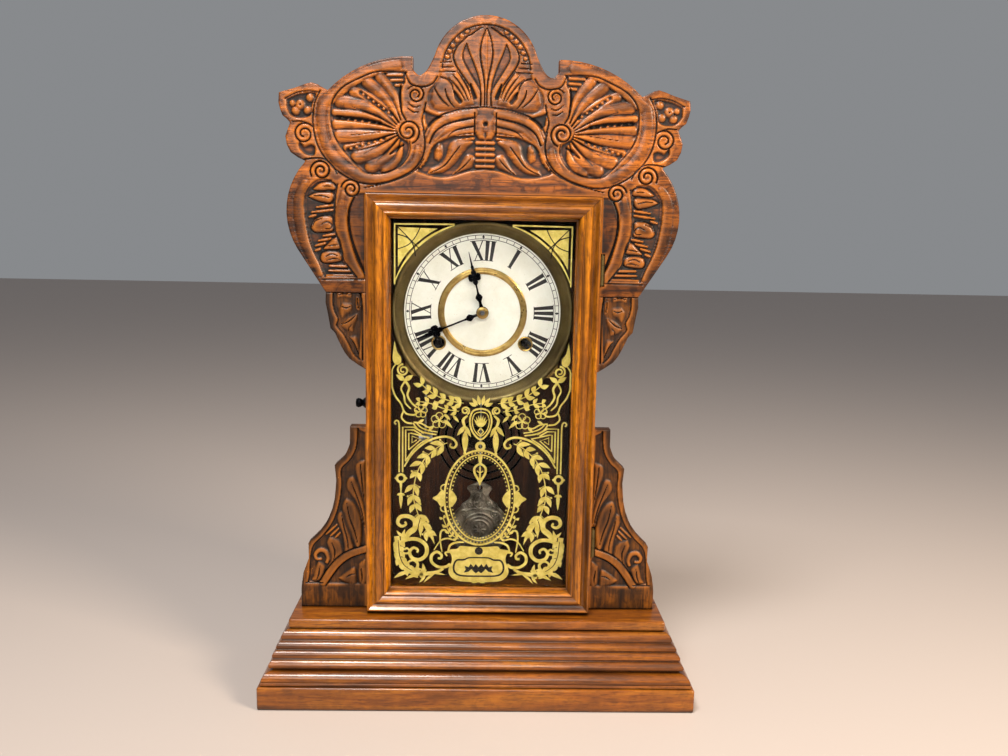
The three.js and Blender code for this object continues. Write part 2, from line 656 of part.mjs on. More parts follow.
function addKnob() {
  // the knob's shank passes into the left stile; its catch stud meets the plate on the case
  const tip = -doorHalf - knob.length;
  const profile = [[0, tip], [3.2, tip + 0.6], [knob.head - 0.6, tip + 2.2], [3.6, tip + 4],
    [knob.neck, tip + 5.6], [knob.head, -doorHalf - seat - 0.8], [knob.head, -doorHalf - seat],
    [1.5, -doorHalf - seat], [1.5, -doorHalf + 11], [0, -doorHalf + 11]];
  const body = facingOut(new THREE.LatheGeometry(profile.map(([r, x]) => v2(r, x)), 14));
  body.rotateZ(-Math.PI / 2);
  add("door_knob", body.translate(0, doorBackY - door.thickness / 2, knobZ), "blackSteel");
  const half = catchPlate.height / 2;
  const x0 = -caseHalf + 1 + seat;
  add("catch_plate", box(x0, x0 + catchPlate.width, frontY, frontY + catchPlate.thickness,
    knobZ - half, knobZ + half), "agedBrass");
}

// ---------------------------------------------------------------- dial

const onDial = ([x, z]) => [x, dialZ + z];
const faceY = frontY + dial.faceSetback;

function addDial() {
  const centre = onDial([0, 0]);
  const r = panRadius;
  const rimY = frontY + dial.rimSetback;
  const floorY = faceY + dial.thickness + seat;
  const pan = [
    [faceRadius - dial.lap, floorY], [faceRadius + 0.6, floorY], [faceRadius + 1.6, faceY - 1.4], [r - 5, rimY + 2],
    [r - 2.4, rimY], [r - 0.4, rimY + 0.8], [r, floorY + 3], [r - panSheet, floorY + 3],
    [r - panSheet, rimY + 3.2], [faceRadius + 3, faceY - 0.4], [faceRadius + 2, floorY + panSheet],
    [faceRadius - dial.lap, floorY + panSheet], [faceRadius - dial.lap, floorY],
  ];
  add("dial_pan", turned(centre, pan, 32), "agedBrass");

  const windingHoles = [-1, 1].map((side) =>
    circle(onDial([side * winding.x, -winding.drop]), winding.hole, 12));
  const face = slab(circle(centre, faceRadius, 40), faceY, faceY + dial.thickness,
    [circle(centre, 5, 12), ...windingHoles]);
  add("dial_face", face, "dialWhite");

  const ringY = faceY - seat;
  const middle = (centreRing.inner + centreRing.outer) / 2;
  add("dial_centre_ring", turned(centre, [
    [centreRing.inner, ringY], [middle - 1.6, ringY - centreRing.height],
    [middle + 1.6, ringY - centreRing.height], [centreRing.outer, ringY], [centreRing.inner, ringY]], 32),
  "brass");

  for (const [name, side] of [["left", -1], ["right", 1]]) {
    const sleeve = winding.hole - seat;
    const bore = sleeve - 0.6;
    add(`winding_grommet_${name}`, turned(onDial([side * winding.x, -winding.drop]), [
      [bore, floorY + 1], [sleeve, floorY + 1], [sleeve, faceY - seat], [winding.rim, faceY - seat],
      [winding.rim - 0.6, faceY - seat - 0.9], [bore, faceY - seat - 0.9], [bore, floorY + 1]], 12), "brass");
  }

  const cleatY = floorY + 3 + seat;
  for (const [name, side] of [["left", -1], ["right", 1]]) {
    const outer = caseInner - seat;
    const x = [side * outer, side * (outer - cleat.width)].sort((a, b) => a - b);
    add(`dial_cleat_${name}`, box(x[0], x[1], cleatY, cleatY + cleat.depth,
      dialZ - cleat.height / 2, dialZ + cleat.height / 2), "caseOak");
  }
}

// ---------------------------------------------------------------- hands

// a slim hand, drawn pointing up: eye, swelling, tapered blade and a cross near the tip
function handOutline({ short, ornament }, eye) {
  const length = faceRadius - short;
  const right = [
    [0, -eye - 3], [1.3, -eye - 3], ...arc([0, 0], eye, degrees(-62), degrees(62), 6).map((p) => [p.x, p.y]),
    [1.2, eye + 4], [2.6, eye + 8.5], [1, eye + 13], [0.8, ornament - 5], [3.6, ornament - 1.4],
    [1.2, ornament], [3.6, ornament + 1.4], [0.7, ornament + 5], [0.4, length - 2], [0, length],
  ].map(([x, z]) => v2(x, z));
  return [...right, ...right.slice(1, -1).map((p) => v2(-p.x, p.y)).reverse()];
}

function addHands() {
  const cannonRadius = 2.1;
  const pipeRadius = 3.5;
  const place = (points, angle) => points.map((p) => {
    const turn = p.clone().rotateAround(v2(0, 0), -degrees(angle));
    return v2(turn.x, turn.y + dialZ);
  });
  for (const [name, hand, eye, bore] of [["minute_hand", minuteHand, 3.6, cannonRadius],
    ["hour_hand", hourHand, 5.2, pipeRadius]]) {
    const y = frontY + hand.setback;
    const geometry = slab(place(handOutline(hand, eye), hand.degrees), y, y + handThickness,
      [circle(onDial([0, 0]), bore, 12)]);
    add(name, geometry, "blackSteel");
  }
  const nutY = frontY + minuteHand.setback - seat;
  add("hand_nut", turned(onDial([0, 0]), [[cannonRadius, nutY], [4.6, nutY], [4.8, nutY - 0.8],
    [3.2, nutY - 1.6], [cannonRadius, nutY - 1.6], [cannonRadius, nutY]], 14), "brass");
}

// ---------------------------------------------------------------- wheels and pinions

// pointed teeth with straight flanks; the first tooth stands at the angle given
function toothPoints(centre, count, pitchRadius, first) {
  const module = (2 * pitchRadius) / count;
  const pitch = (2 * Math.PI) / count;
  const points = [];
  for (let i = 0; i < count; i++) {
    const angle = first + i * pitch;
    points.push(polar(centre, pitchRadius - 1.7 * module, angle - pitch / 2));
    points.push(polar(centre, pitchRadius + 0.8 * module, angle));
  }
  return points;
}

// openings between the arms of a wheel
function crossings(centre, inner, outer, arms, armWidth) {
  return Array.from({ length: arms }, (_, i) => {
    const middle = (2 * Math.PI * (i + 0.5)) / arms;
    const half = (radius) => Math.PI / arms - armWidth / 2 / radius;
    return [...arc(centre, outer, middle - half(outer), middle + half(outer), 3),
      ...arc(centre, inner, middle + half(inner), middle - half(inner), 1)];
  });
}

function wheel(centre, count, pitchRadius, first, y, { arms = 4, hub = 5, bore = 0, rimWidth = 2.4 } = {}) {
  const module = (2 * pitchRadius) / count;
  const rim = pitchRadius - 1.7 * module - rimWidth;
  const holes = arms ? crossings(centre, hub, rim, arms, 2.6) : [];
  if (bore) {
    holes.push(circle(centre, bore, 12));
  }
  return slab(toothPoints(centre, count, pitchRadius, first), y, y + wheelThickness, holes);
}

// pins held between two round shrouds; the first pin stands at the angle given
function lanternPinion(centre, count, pitchRadius, first, y) {
  const pin = pitchRadius * Math.PI * 0.3 / count;
  const shroud = pitchRadius + pin + 0.5;
  const [y0, y1] = [y - 0.6, y + wheelThickness + 0.6];
  const trundles = Array.from({ length: count }, (_, i) => {
    const p = polar(centre, pitchRadius, first + (2 * Math.PI * i) / count);
    return bar([p.x, p.y], pin, y0 - 0.4, y1 + 0.4, 5);
  });
  return joined(bar(centre, shroud, y0 - 0.8, y0, 10), bar(centre, shroud, y1, y1 + 0.8, 10), ...trundles);
}

// the pitch radii of a pair that meets, and the angle of the follower's first tooth when a
// tooth of the driver stands at angle zero
function mesh(driver, driverCount, follower, followerCount) {
  const gap = distance(driver, follower);
  const line = bearing(driver, follower);
  const ratio = driverCount / followerCount;
  return {
    driver: (gap * driverCount) / (driverCount + followerCount),
    follower: (gap * followerCount) / (driverCount + followerCount),
    first: line + Math.PI + ratio * line + Math.PI / followerCount,
  };
}

// an arbor between the plates with a thinner pivot at each end
function arbor(centre, radius = arborRadius) {
  const reach = plates.thickness + 0.4;
  const clear = 0.4;
  return joined(bar(centre, radius, insideY + clear, backPlateY - clear, 8),
    bar(centre, pivotRadius, insideY - reach, backPlateY + reach, 6));
}

const place = Object.fromEntries(Object.entries(at).map(([name, p]) => [name, onDial(p)]));

const meets = {
  timeFirst: mesh(place.timeGreat, teeth.timeGreat, place.timeSecond, pins.timeSecond),
  timeSecond: mesh(place.timeSecond, teeth.timeSecond, place.timeThird, pins.timeThird),
  timeThird: mesh(place.timeThird, teeth.timeThird, place.escape, pins.escape),
  toCentre: mesh(place.timeSecond, teeth.toCentre, place.centre, teeth.centre),
  strikeFirst: mesh(place.strikeGreat, strikeTeeth.great, place.strikeSecond, pins.strikeSecond),
  strikeSecond: mesh(place.strikeSecond, strikeTeeth.second, place.strikeThird, pins.strikeThird),
  strikeThird: mesh(place.strikeThird, strikeTeeth.third, place.fly, pins.fly),
  cannon: mesh(place.centre, motion.cannon, place.minute, motion.minute),
  hour: mesh(place.minute, motion.minutePinion, place.centre, motion.hour),
};

const greatY = insideY + layer.great;
const secondY = insideY + layer.second;
const thirdY = insideY + layer.third;
const escapeY = insideY + layer.escape;

// a great wheel on its winding arbor, which ends in a square behind the dial
function greatWheel(centre, count, pitchRadius) {
  const squareHalf = winding.square / 2;
  const square = box(centre[0] - squareHalf, centre[0] + squareHalf, faceY - 0.4, plateFrontY - 6,
    centre[1] - squareHalf, centre[1] + squareHalf);
  return joined(
    wheel(centre, count, pitchRadius, 0, greatY, { arms: 5, hub: 7 }),
    bar(centre, winding.radius, plateFrontY - 7, backPlateY - 0.4),
    bar(centre, 1.5, backPlateY - 1, backPlateY + plates.thickness + 0.4, 8),
    square,
  );
}

// rim of the count wheel: one slot after each hour's blows, on as many steps as there are
// blows in twelve hours
function countWheelOutline(centre, radius) {
  const step = (2 * Math.PI) / strikeTeeth.great;
  const points = [];
  for (let hour = 1, blow = 0; hour <= 12; blow += hour, hour++) {
    points.push(...arc(centre, radius - 2.4, step * blow, step * (blow + 0.8), 1));
    points.push(...arc(centre, radius, step * (blow + 0.9), step * (blow + hour - 0.1), Math.ceil(hour / 3)));
  }
  return points;
}

function addTimeTrain() {
  add("time_great_wheel", greatWheel(place.timeGreat, teeth.timeGreat, meets.timeFirst.driver), "brass");

  const second = place.timeSecond;
  add("time_second_wheel", joined(
    arbor(second),
    bar(second, arborRadius, plateFrontY - front.centreWheel - wheelThickness - 0.6, insideY + 1, 8),
    wheel(second, teeth.timeSecond, meets.timeSecond.driver, 0, secondY),
    lanternPinion(second, pins.timeSecond, meets.timeFirst.follower, meets.timeFirst.first, greatY),
    wheel(second, teeth.toCentre, meets.toCentre.driver, 0,
      plateFrontY - front.centreWheel - wheelThickness, { arms: 0 }),
  ), "brass");

  const third = place.timeThird;
  add("time_third_wheel", joined(
    arbor(third),
    wheel(third, teeth.timeThird, meets.timeThird.driver, 0, thirdY),
    lanternPinion(third, pins.timeThird, meets.timeSecond.follower, meets.timeSecond.first, secondY),
  ), "brass");

  const pitch = (2 * Math.PI) / teeth.escape;
  const saw = Array.from({ length: teeth.escape }, (_, i) => [
    polar(place.escape, escapeRadius, i * pitch),
    polar(place.escape, escapeRadius - 2, (i + 0.24) * pitch),
  ]).flat();
  const escapeWheel = slab(saw, escapeY, escapeY + wheelThickness,
    crossings(place.escape, 3, escapeRadius - 3.8, 4, 2));
  add("escape_wheel", joined(
    arbor(place.escape, 1.1),
    escapeWheel,
    lanternPinion(place.escape, pins.escape, meets.timeThird.follower, meets.timeThird.first, thirdY),
  ), "brass");

  const centreWheelY = plateFrontY - front.centreWheel - wheelThickness;
  add("centre_wheel", wheel(place.centre, teeth.centre, meets.toCentre.follower, meets.toCentre.first,
    centreWheelY, { arms: 0, bore: 2.1 }), "brass");
}

function addStrikeTrain() {
  const great = place.strikeGreat;
  const countY = plateFrontY - 2.6;
  add("strike_great_wheel", joined(
    greatWheel(great, strikeTeeth.great, meets.strikeFirst.driver),
    slab(countWheelOutline(great, 16), countY, countY + 1.2),
  ), "brass");

  const second = place.strikeSecond;
  const lifters = Array.from({ length: hammerPins.count }, (_, i) => {
    const p = polar(second, hammerPins.circle, degrees(15) + (2 * Math.PI * i) / hammerPins.count);
    return bar([p.x, p.y], hammerPins.radius, secondY - hammerPins.length, secondY + 0.5, 5);
  });
  const rimWidth = meets.strikeSecond.driver - hammerPins.circle + 0.6;
  add("strike_second_wheel", joined(
    arbor(second),
    wheel(second, strikeTeeth.second, meets.strikeSecond.driver, 0, secondY, { arms: 3, rimWidth }),
    ...lifters,
    lanternPinion(second, pins.strikeSecond, meets.strikeFirst.follower, meets.strikeFirst.first, greatY),
  ), "brass");

  const third = place.strikeThird;
  add("strike_third_wheel", joined(
    arbor(third),
    wheel(third, strikeTeeth.third, meets.strikeThird.driver, 0, escapeY),
    lanternPinion(third, pins.strikeThird, meets.strikeSecond.follower, meets.strikeSecond.first, secondY),
  ), "brass");

  const [x, z] = place.fly;
  add("strike_fly", joined(
    arbor(place.fly, 1.1),
    lanternPinion(place.fly, pins.fly, meets.strikeThird.follower, meets.strikeThird.first, escapeY),
    box(x - 11, x + 11, insideY + 12, insideY + 25, z - 0.3, z + 0.3),
  ), "brass");
}

function addHandGears() {
  const centre = place.centre;
  const tail = insideY + 1.6;
  const cannonY = plateFrontY - front.minuteWheel - wheelThickness;
  add("centre_arbor", joined(
    bar(centre, 1.8, frontY + minuteHand.setback - 2.4, tail, 10),
    bar(centre, 3, insideY + seat, tail, 12),
    wheel(centre, motion.cannon, meets.cannon.driver, 0, cannonY, { arms: 0 }),
  ), "steel");

  const stud = place.minute;
  const hourY = plateFrontY - front.hourWheel - wheelThickness;
  const pinion = slab(toothPoints(stud, motion.minutePinion, meets.hour.driver, 0), hourY - 0.6, cannonY + 0.5,
    [circle(stud, 1.5, 10)]);
  add("minute_wheel", joined(
    wheel(stud, motion.minute, meets.cannon.follower, meets.cannon.first, cannonY, { arms: 0, bore: 1.5 }),
    pinion,
  ), "brass");

  const pipeEnd = frontY + hourHand.setback - 0.4;
  const bore = 2.2;
  const pipe = cut(bar(centre, 3.2, pipeEnd, hourY + 0.5), bar(centre, bore, pipeEnd - 1, hourY + 3));
  add("hour_wheel", joined(
    wheel(centre, motion.hour, meets.hour.follower, meets.hour.first, hourY, { arms: 4, hub: 5, bore }),
    pipe,
  ), "brass");
}

// ---------------------------------------------------------------- plates, springs and mount

function plateOutline() {
  const { halfWidth: w, top, bottom } = plates;
  const c = 7;
  return [[-w + c, bottom], [w - c, bottom], [w, bottom + c], [w, -14], [w - 8, -2], [w - 8, 22], [w, 34],
    [w, top - c], [w - c, top], [-w + c, top], [-w, top - c], [-w, 34], [-w + 8, 22], [-w + 8, -2],
    [-w, -14], [-w, bottom + c]].map(([x, z]) => v2(x, z + dialZ));
}

const windowAt = (x0, x1, z0, z1) => {
  const [middle, rise] = [(x0 + x1) / 2, (x1 - x0) / 5];
  return [[x0, z0 + rise], [middle, z0], [x1, z0 + rise], [x1, z1 - rise], [middle, z1], [x0, z1 - rise]]
    .map(([x, z]) => v2(x, z + dialZ));
};

const plateWindows = [
  windowAt(8, 26, -52, -40),
  windowAt(-26, -8, -52, -40),
  windowAt(34, 52, -2, 40),
  windowAt(7, 28, 13, 36),
  windowAt(-29, -14, -30, 12),
  windowAt(-42, -28, 16, 38),
];

const vergeWindow = windowAt(-10.5, 10.5, -33, -11.5);

const pillarPlaces = [[pillar.x, pillar.lowerZ], [-pillar.x, pillar.lowerZ], [pillar.x, pillar.upperZ],
  [-pillar.x, pillar.upperZ], [0, pillar.lowerZ]].map(onDial);

function addPlates() {
  const pivots = ["timeThird", "escape", "strikeSecond", "strikeThird", "fly", "hammer"]
    .map((name) => circle(place[name], pivotRadius + seat, 6));
  const frontHoles = [
    ...pivots,
    circle(place.timeSecond, arborRadius + seat, 8),
    circle(place.timeGreat, winding.radius + seat, 12),
    circle(place.strikeGreat, winding.radius + seat, 12),
    circle(place.centre, 1.8 + seat, 12),
    vergeWindow,
  ];
  const stud = bar(place.minute, 1.2, plateFrontY - front.hourWheel - wheelThickness - 1.4, plateFrontY + 0.5, 10);
  const rivets = pillarPlaces.map((p) => circle(p, 1.4 + seat, 6));
  const sheet = slab(plateOutline(), plateFrontY, insideY, [...plateWindows, ...frontHoles, ...rivets]);
  add("movement_front_plate", joined(sheet, stud), "brass");

  const backHoles = [
    ...pivots,
    circle(place.timeSecond, pivotRadius + seat, 8),
    circle(place.timeGreat, 1.5 + seat, 8),
    circle(place.strikeGreat, 1.5 + seat, 8),
  ];
  const pillars = pillarPlaces.flatMap((p) => [
    bar(p, pillar.radius, insideY + seat, backPlateY + 0.5, 8),
    bar(p, 1.4, plateFrontY - 1.4, insideY + 1, 6),
  ]);
  const back = slab(plateOutline(), backPlateY, backPlateY + plates.thickness, [...plateWindows, ...backHoles]);
  add("movement_back_plate", joined(back, ...pillars), "brass");
  add("movement_seat", box(-seatBoard.width / 2, seatBoard.width / 2, backPlateY + plates.thickness + seat + 0.4,
    backboardY, dialZ + seatBoard.lowerZ, dialZ + seatBoard.upperZ), "caseOak");
}

// a strip wound outwards from the winding arbor
function springCoil(centre, turn) {
  const steps = mainspring.loops * mainspring.steps;
  const growth = (mainspring.outer - mainspring.inner) / steps;
  const [y0, y1] = [insideY + layer.spring, insideY + layer.spring + mainspring.width];
  const sections = Array.from({ length: steps + 1 }, (_, i) => {
    const angle = (turn * 2 * Math.PI * i) / mainspring.steps;
    const middle = mainspring.inner + growth * i;
    const [p, q] = [-1, 1].map((side) => polar(centre, middle + (side * mainspring.strip) / 2, angle));
    return [v3(p.x, y0, p.y), v3(q.x, y0, q.y), v3(q.x, y1, q.y), v3(p.x, y1, p.y)];
  });
  return loft(sections);
}

function addSprings() {
  add("mainspring_time", springCoil(place.timeGreat, 1), "steel");
  add("mainspring_strike", springCoil(place.strikeGreat, -1), "steel");
  const pitch = (mainspring.outer - mainspring.inner) / mainspring.loops;
  console.log(`mainspring: least gap between coils ${(pitch - mainspring.strip).toFixed(2)} mm`);
}

// ---------------------------------------------------------------- escapement and pendulum

const rodY = plateFrontY - front.rod;

function addVerge() {
  const [x, z] = place.verge;
  const [wx, wz] = place.escape;
  const strapY = plateFrontY - seat;
  const strap = box(-19, 19, strapY - 1.4, strapY, z - 3, z + 3);
  const studEnd = escapeY + wheelThickness + 0.6;
  const post = box(-2.5, 2.5, rodY - pendulum.springWidth / 2 - 0.6, strapY - 1, z + 0.3, z + 6);
  const slot = box(-0.6, 0.6, rodY - pendulum.springWidth / 2 - 2, rodY + pendulum.springWidth / 2 + 0.4,
    z - 1, z + 4.6);
  add("verge_cock", cut(joined(strap, bar([x, z], 0.65, strapY - 0.5, studEnd, 8), post), slot), "brass");

  const hubFront = plateFrontY + 0.1;
  const hub = cut(bar([x, z], 1.9, hubFront, studEnd - 0.3, 12), bar([x, z], 0.95, hubFront - 1, studEnd + 1, 8));
  const inner = escapeRadius + palletClearance + 0.9;
  const [from, to] = [degrees(135), degrees(45)];
  const strip = slab([...arc([wx, wz], inner, to, from, 8), ...arc([wx, wz], inner + 1, from, to, 8)],
    escapeY - 0.4, studEnd - 0.3);
  const pallets = [from, to].map((angle) => {
    const side = [-0.03, 0.03];
    return slab([...side.map((s) => polar([wx, wz], inner + 0.5, angle + s)).reverse(),
      ...side.map((s) => polar([wx, wz], escapeRadius + palletClearance, angle + s))],
    escapeY - 0.4, studEnd - 0.3);
  });
  const crutchY = rodY + pendulum.rod + 1.6;
  const crutch = wire([v3(0, hubFront + 0.8, z - 1.4), v3(0, hubFront + 0.8, z - 4.6),
    v3(0, crutchY, z - 8), v3(0, crutchY, z - crutchDrop)], 0.6);
  const eyeZ = z - crutchDrop;
  const eye = cut(box(-2.2, 2.2, rodY - 2.4, crutchY + 0.6, eyeZ - 0.6, eyeZ + 0.6),
    box(-1.3, 1.3, rodY - 1.6, crutchY - 0.4, eyeZ - 1, eyeZ + 1));
  add("verge_and_crutch", joined(hub, strip, ...pallets, crutch, eye), "steel");
}

function addPendulum() {
  const [, z] = place.verge;
  const half = pendulum.springWidth / 2;
  const bobZ = dialZ - pendulum.drop;
  const eyeZ = bobZ + bobPanel.eyeAbove;
  const bobTop = bobZ + bobPanel.height;
  const strip = box(-0.2, 0.2, rodY - half, rodY + half, z - pendulum.springLength, z + 4);
  const rod = upright(0, rodY, pendulum.rod, bobTop + 2, z - pendulum.springLength + 2, 8);
  const hook = wire([[0, bobTop + 3], [0, bobTop + 2], [-2.8, bobTop + 0.2], [-3.8, bobTop - 2.6], [-3, eyeZ + 0.4],
    [0, eyeZ - 0.8], [3, eyeZ + 0.2], [3.4, eyeZ + 2.6]].map(([back, up]) => v3(0, rodY + back, up)), 0.8);
  add("pendulum_rod", joined(strip, rod, hook), "steel");

  // a pressed bob: a round boss in a scrolled frame with an eye at the top
  const frame = [
    ...arc([0, bobZ], pendulum.disc, degrees(-90), degrees(50), 10),
    ...smooth([[15.5, bobZ + 22.5], [9.5, bobZ + 27], [8, bobZ + 32], [11, bobZ + 37], [6, bobZ + 40.5],
      [0, bobTop]], 9),
  ].slice(0, -1);
  const outline = [...frame, v2(0, bobTop), ...mirrored(frame.slice(1))];
  const faceAt = rodY - bobPanel.thickness / 2;
  const panel = slab(outline, faceAt, faceAt + bobPanel.thickness, [circle([0, eyeZ], bobPanel.eyeRadius, 8)]);
  const lens = turned([0, bobZ], [[0, faceAt - 3.4], [8, faceAt - 3], [16, faceAt - 1.6], [22, faceAt + 0.6],
    [16, faceAt + 3.2], [0, faceAt + 4.4]], 20);
  add("pendulum_bob", joined(panel, lens), "nickel");
}

// ---------------------------------------------------------------- gong and hammer

function addGong() {
  const y = gongY;
  const steps = gong.loops * 24;
  const growth = (gong.outer - gong.inner) / steps;
  const start = gong.block + seat;
  const line = [v3(gong.x + start, y, gongZ), v3(gong.x + start + gong.wire, y, gongZ)];
  for (let i = 2; i <= steps; i++) {
    const p = polar([gong.x, gongZ], gong.inner + growth * i, (2 * Math.PI * i) / 24);
    line.push(v3(p.x, y, p.y));
  }
  add("gong_coil", wire(line, gong.wire / 2), "blackSteel");
  const pitch = (gong.outer - gong.inner) / gong.loops;
  console.log(`gong: least gap between loops ${(pitch - gong.wire).toFixed(2)} mm`);
  const foot = 11;
  add("gong_block", joined(
    box(gong.x - gong.block, gong.x + gong.block, y - 4, backboardY, gongZ - gong.block, gongZ + gong.block),
    box(gong.x - foot, gong.x + foot, backboardY - 2.5, backboardY, gongZ - foot, gongZ + foot),
  ), "iron");
}

function addHammer() {
  const [x, z] = place.hammer;
  const y = gongY;
  const contact = gong.x - gong.outer - gong.wire / 2 - 1;
  const headZ = gongZ;
  const head = new THREE.CylinderGeometry(hammer.headRadius, hammer.headRadius, hammer.headLength, 12)
    .rotateZ(Math.PI / 2).translate(contact - hammer.headLength / 2, y, headZ);
  const stem = wire([v3(x, y, z + 1), v3(x, y, z - 20), v3(contact - hammer.headLength / 2, y, headZ + 30),
    v3(contact - hammer.headLength / 2, y, headZ)], hammer.wire);
  const toWheel = bearing(place.hammer, place.strikeSecond);
  const tailLength = distance(place.hammer, place.strikeSecond) - hammerPins.circle - hammerPins.radius - 0.5;
  const aside = 1.1;
  const tail = slab([polar(place.hammer, aside, toWheel - Math.PI / 2), polar(place.hammer, tailLength, toWheel - 0.08),
    polar(place.hammer, tailLength, toWheel + 0.08), polar(place.hammer, aside, toWheel + Math.PI / 2)],
  secondY - 1.5, secondY - 0.4);
  add("strike_hammer", joined(
    arbor(place.hammer),
    bar(place.hammer, pivotRadius, backPlateY, y + 1, 8),
    head,
    stem,
    tail,
  ), "steel");
}

addBase();
addCase();
addCrest();
addWings();
addDoor();
addHinges();
addKnob();
addDial();
addHands();
addPlates();
addTimeTrain();
addStrikeTrain();
addHandGears();
addSprings();
addVerge();
addPendulum();
addGong();
addHammer();

export default clock;
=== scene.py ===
import math

import bmesh
import bpy
import numpy as np
from mathutils import Matrix, Vector
from mathutils.geometry import tessellate_polygon


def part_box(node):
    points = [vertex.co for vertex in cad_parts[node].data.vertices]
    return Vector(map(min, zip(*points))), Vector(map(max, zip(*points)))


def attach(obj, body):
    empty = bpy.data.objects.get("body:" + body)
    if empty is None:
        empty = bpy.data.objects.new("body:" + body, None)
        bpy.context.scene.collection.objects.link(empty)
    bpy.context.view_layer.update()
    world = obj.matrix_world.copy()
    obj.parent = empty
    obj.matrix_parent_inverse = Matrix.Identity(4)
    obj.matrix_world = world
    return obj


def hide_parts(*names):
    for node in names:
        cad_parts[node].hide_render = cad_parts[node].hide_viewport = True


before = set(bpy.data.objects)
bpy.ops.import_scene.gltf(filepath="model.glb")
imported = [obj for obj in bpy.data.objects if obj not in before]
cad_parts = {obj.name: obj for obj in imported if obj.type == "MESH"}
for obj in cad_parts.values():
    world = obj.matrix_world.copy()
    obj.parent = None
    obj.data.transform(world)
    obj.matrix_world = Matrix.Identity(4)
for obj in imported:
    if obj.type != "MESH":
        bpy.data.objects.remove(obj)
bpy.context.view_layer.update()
mm = 0.001  # everything below is written in millimetres


def lowHigh(node):
    low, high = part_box(node)
    return [v / mm for v in low], [v / mm for v in high]


# planes and places taken from the frame, in millimetres
crestHigh = lowHigh("crest_board")[1]
boardThickness = 10.0
boardBack = crestHigh[1]
boardFace = boardBack - boardThickness  # the plane that the carving stands on
doorLow, doorHigh = lowHigh("door_stile_left")
doorHalf = -doorLow[0]
glassHigh = lowHigh("door_glass")[1]
faceLow, faceHigh = lowHigh("dial_face")
dialZ = (faceLow[2] + faceHigh[2]) / 2


# small helpers for colours, nodes and meshes


def linear(hexColour):
    channels = [int(hexColour[i:i + 2], 16) / 255 for i in (1, 3, 5)]
    return [c / 12.92 if c <= 0.04045 else ((c + 0.055) / 1.055) ** 2.4 for c in channels] + [1.0]


# kind is a node's type name; a value that is a socket becomes a link.
def addNode(tree, kind, inputs=None, **settings):
    node = tree.nodes.new(kind)
    for name, value in settings.items():
        setattr(node, name, value)
    for name, value in (inputs or {}).items():
        socket = node.inputs[name]
        if isinstance(value, bpy.types.NodeSocket):
            tree.links.new(value, socket)
        else:
            socket.default_value = value
    return node


def newMaterial(name):
    material = bpy.data.materials.new(name)
    material.use_nodes = True
    tree = material.node_tree
    tree.nodes.clear()
    output = addNode(tree, "ShaderNodeOutputMaterial")
    shader = addNode(tree, "ShaderNodeBsdfPrincipled")
    tree.links.new(shader.outputs[0], output.inputs["Surface"])
    return material, tree, shader


def collectionLink(piece):
    bpy.context.scene.collection.objects.link(piece)
    return piece


def finishPiece(piece, body, material, replaced=(), angle=35):
    mesh = piece.data
    if not mesh.materials:
        mesh.materials.append(material)
    mesh.shade_smooth()
    mesh.set_sharp_from_angle(angle=math.radians(angle))
    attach(piece, body)
    if replaced:
        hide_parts(*replaced)
    return piece


# A mesh piece from points in millimetres, with its faces turned outwards.
def newPiece(name, points, faces, body, material, replaced=(), angle=35):
    mesh = bpy.data.meshes.new(name)
    mesh.from_pydata([(p[0] * mm, p[1] * mm, p[2] * mm) for p in points], [], faces)
    work = bmesh.new()
    work.from_mesh(mesh)
    bmesh.ops.remove_doubles(work, verts=work.verts, dist=1e-6)
    bmesh.ops.dissolve_degenerate(work, edges=work.edges, dist=1e-7)
    bmesh.ops.recalc_face_normals(work, faces=work.faces)
    work.to_mesh(mesh)
    work.free()
    piece = collectionLink(bpy.data.objects.new(name, mesh))
    return finishPiece(piece, body, material, replaced, angle)


# Several (points, faces) shapes as one.
def merged(shapes):
    points, faces = [], []
    for shapePoints, shapeFaces in shapes:
        start = len(points)
        points += [tuple(p) for p in shapePoints]
        faces += [tuple(i + start for i in face) for face in shapeFaces]
    return points, faces


# Quads between sections with the same number of points, and an end face at each end.
def skin(sections, capped=True, closed=False):
    count = len(sections[0])
    points = [p for section in sections for p in section]
    faces = []
    spans = len(sections) if closed else len(sections) - 1
    for s in range(spans):
        t = (s + 1) % len(sections)
        for i in range(count):
            j = (i + 1) % count
            faces.append((s * count + i, s * count + j, t * count + j, t * count + i))
    if capped and not closed:
        faces.append(tuple(range(count)))
        faces.append(tuple(range((len(sections) - 1) * count, len(sections) * count)))
    return points, faces


# A profile of (radius, y) pairs turned about a line along y.
def turnedShape(x, z, profile, sides):
    sections = []
    for s in range(sides):
        a = 2 * math.pi * s / sides
        sections.append([(x + r * math.sin(a), y, z + r * math.cos(a)) for r, y in profile])
    return skin(sections, closed=True)


# A board with its arrises rubbed round.
def easedBox(low, high, ease=0.8, steps=2):
    work = bmesh.new()
    bmesh.ops.create_cube(work, size=1.0)
    for v in work.verts:
        v.co = Vector([low[k] if v.co[k] < 0 else high[k] for k in range(3)])
    bmesh.ops.bevel(work, geom=work.edges, offset=ease, segments=steps, profile=0.6, affect="EDGES")
    points = [tuple(v.co) for v in work.verts]
    faces = [tuple(v.index for v in f.verts) for f in work.faces]
    work.free()
    return points, faces


# A smooth line through a few points.
def curve(points, steps):
    p = np.array(points, float)
    p = np.vstack([p[:1], p, p[-1:]])
    line = []
    for i in np.linspace(0, len(p) - 3, steps + 1):
        k = min(int(i), len(p) - 4)
        t = i - k
        a, b, c, d = p[k:k + 4]
        line.append(0.5 * (2 * b + (c - a) * t + (2 * a - 5 * b + 4 * c - d) * t ** 2
                           + (3 * b - a - 3 * c + d) * t ** 3))
    return np.array(line)


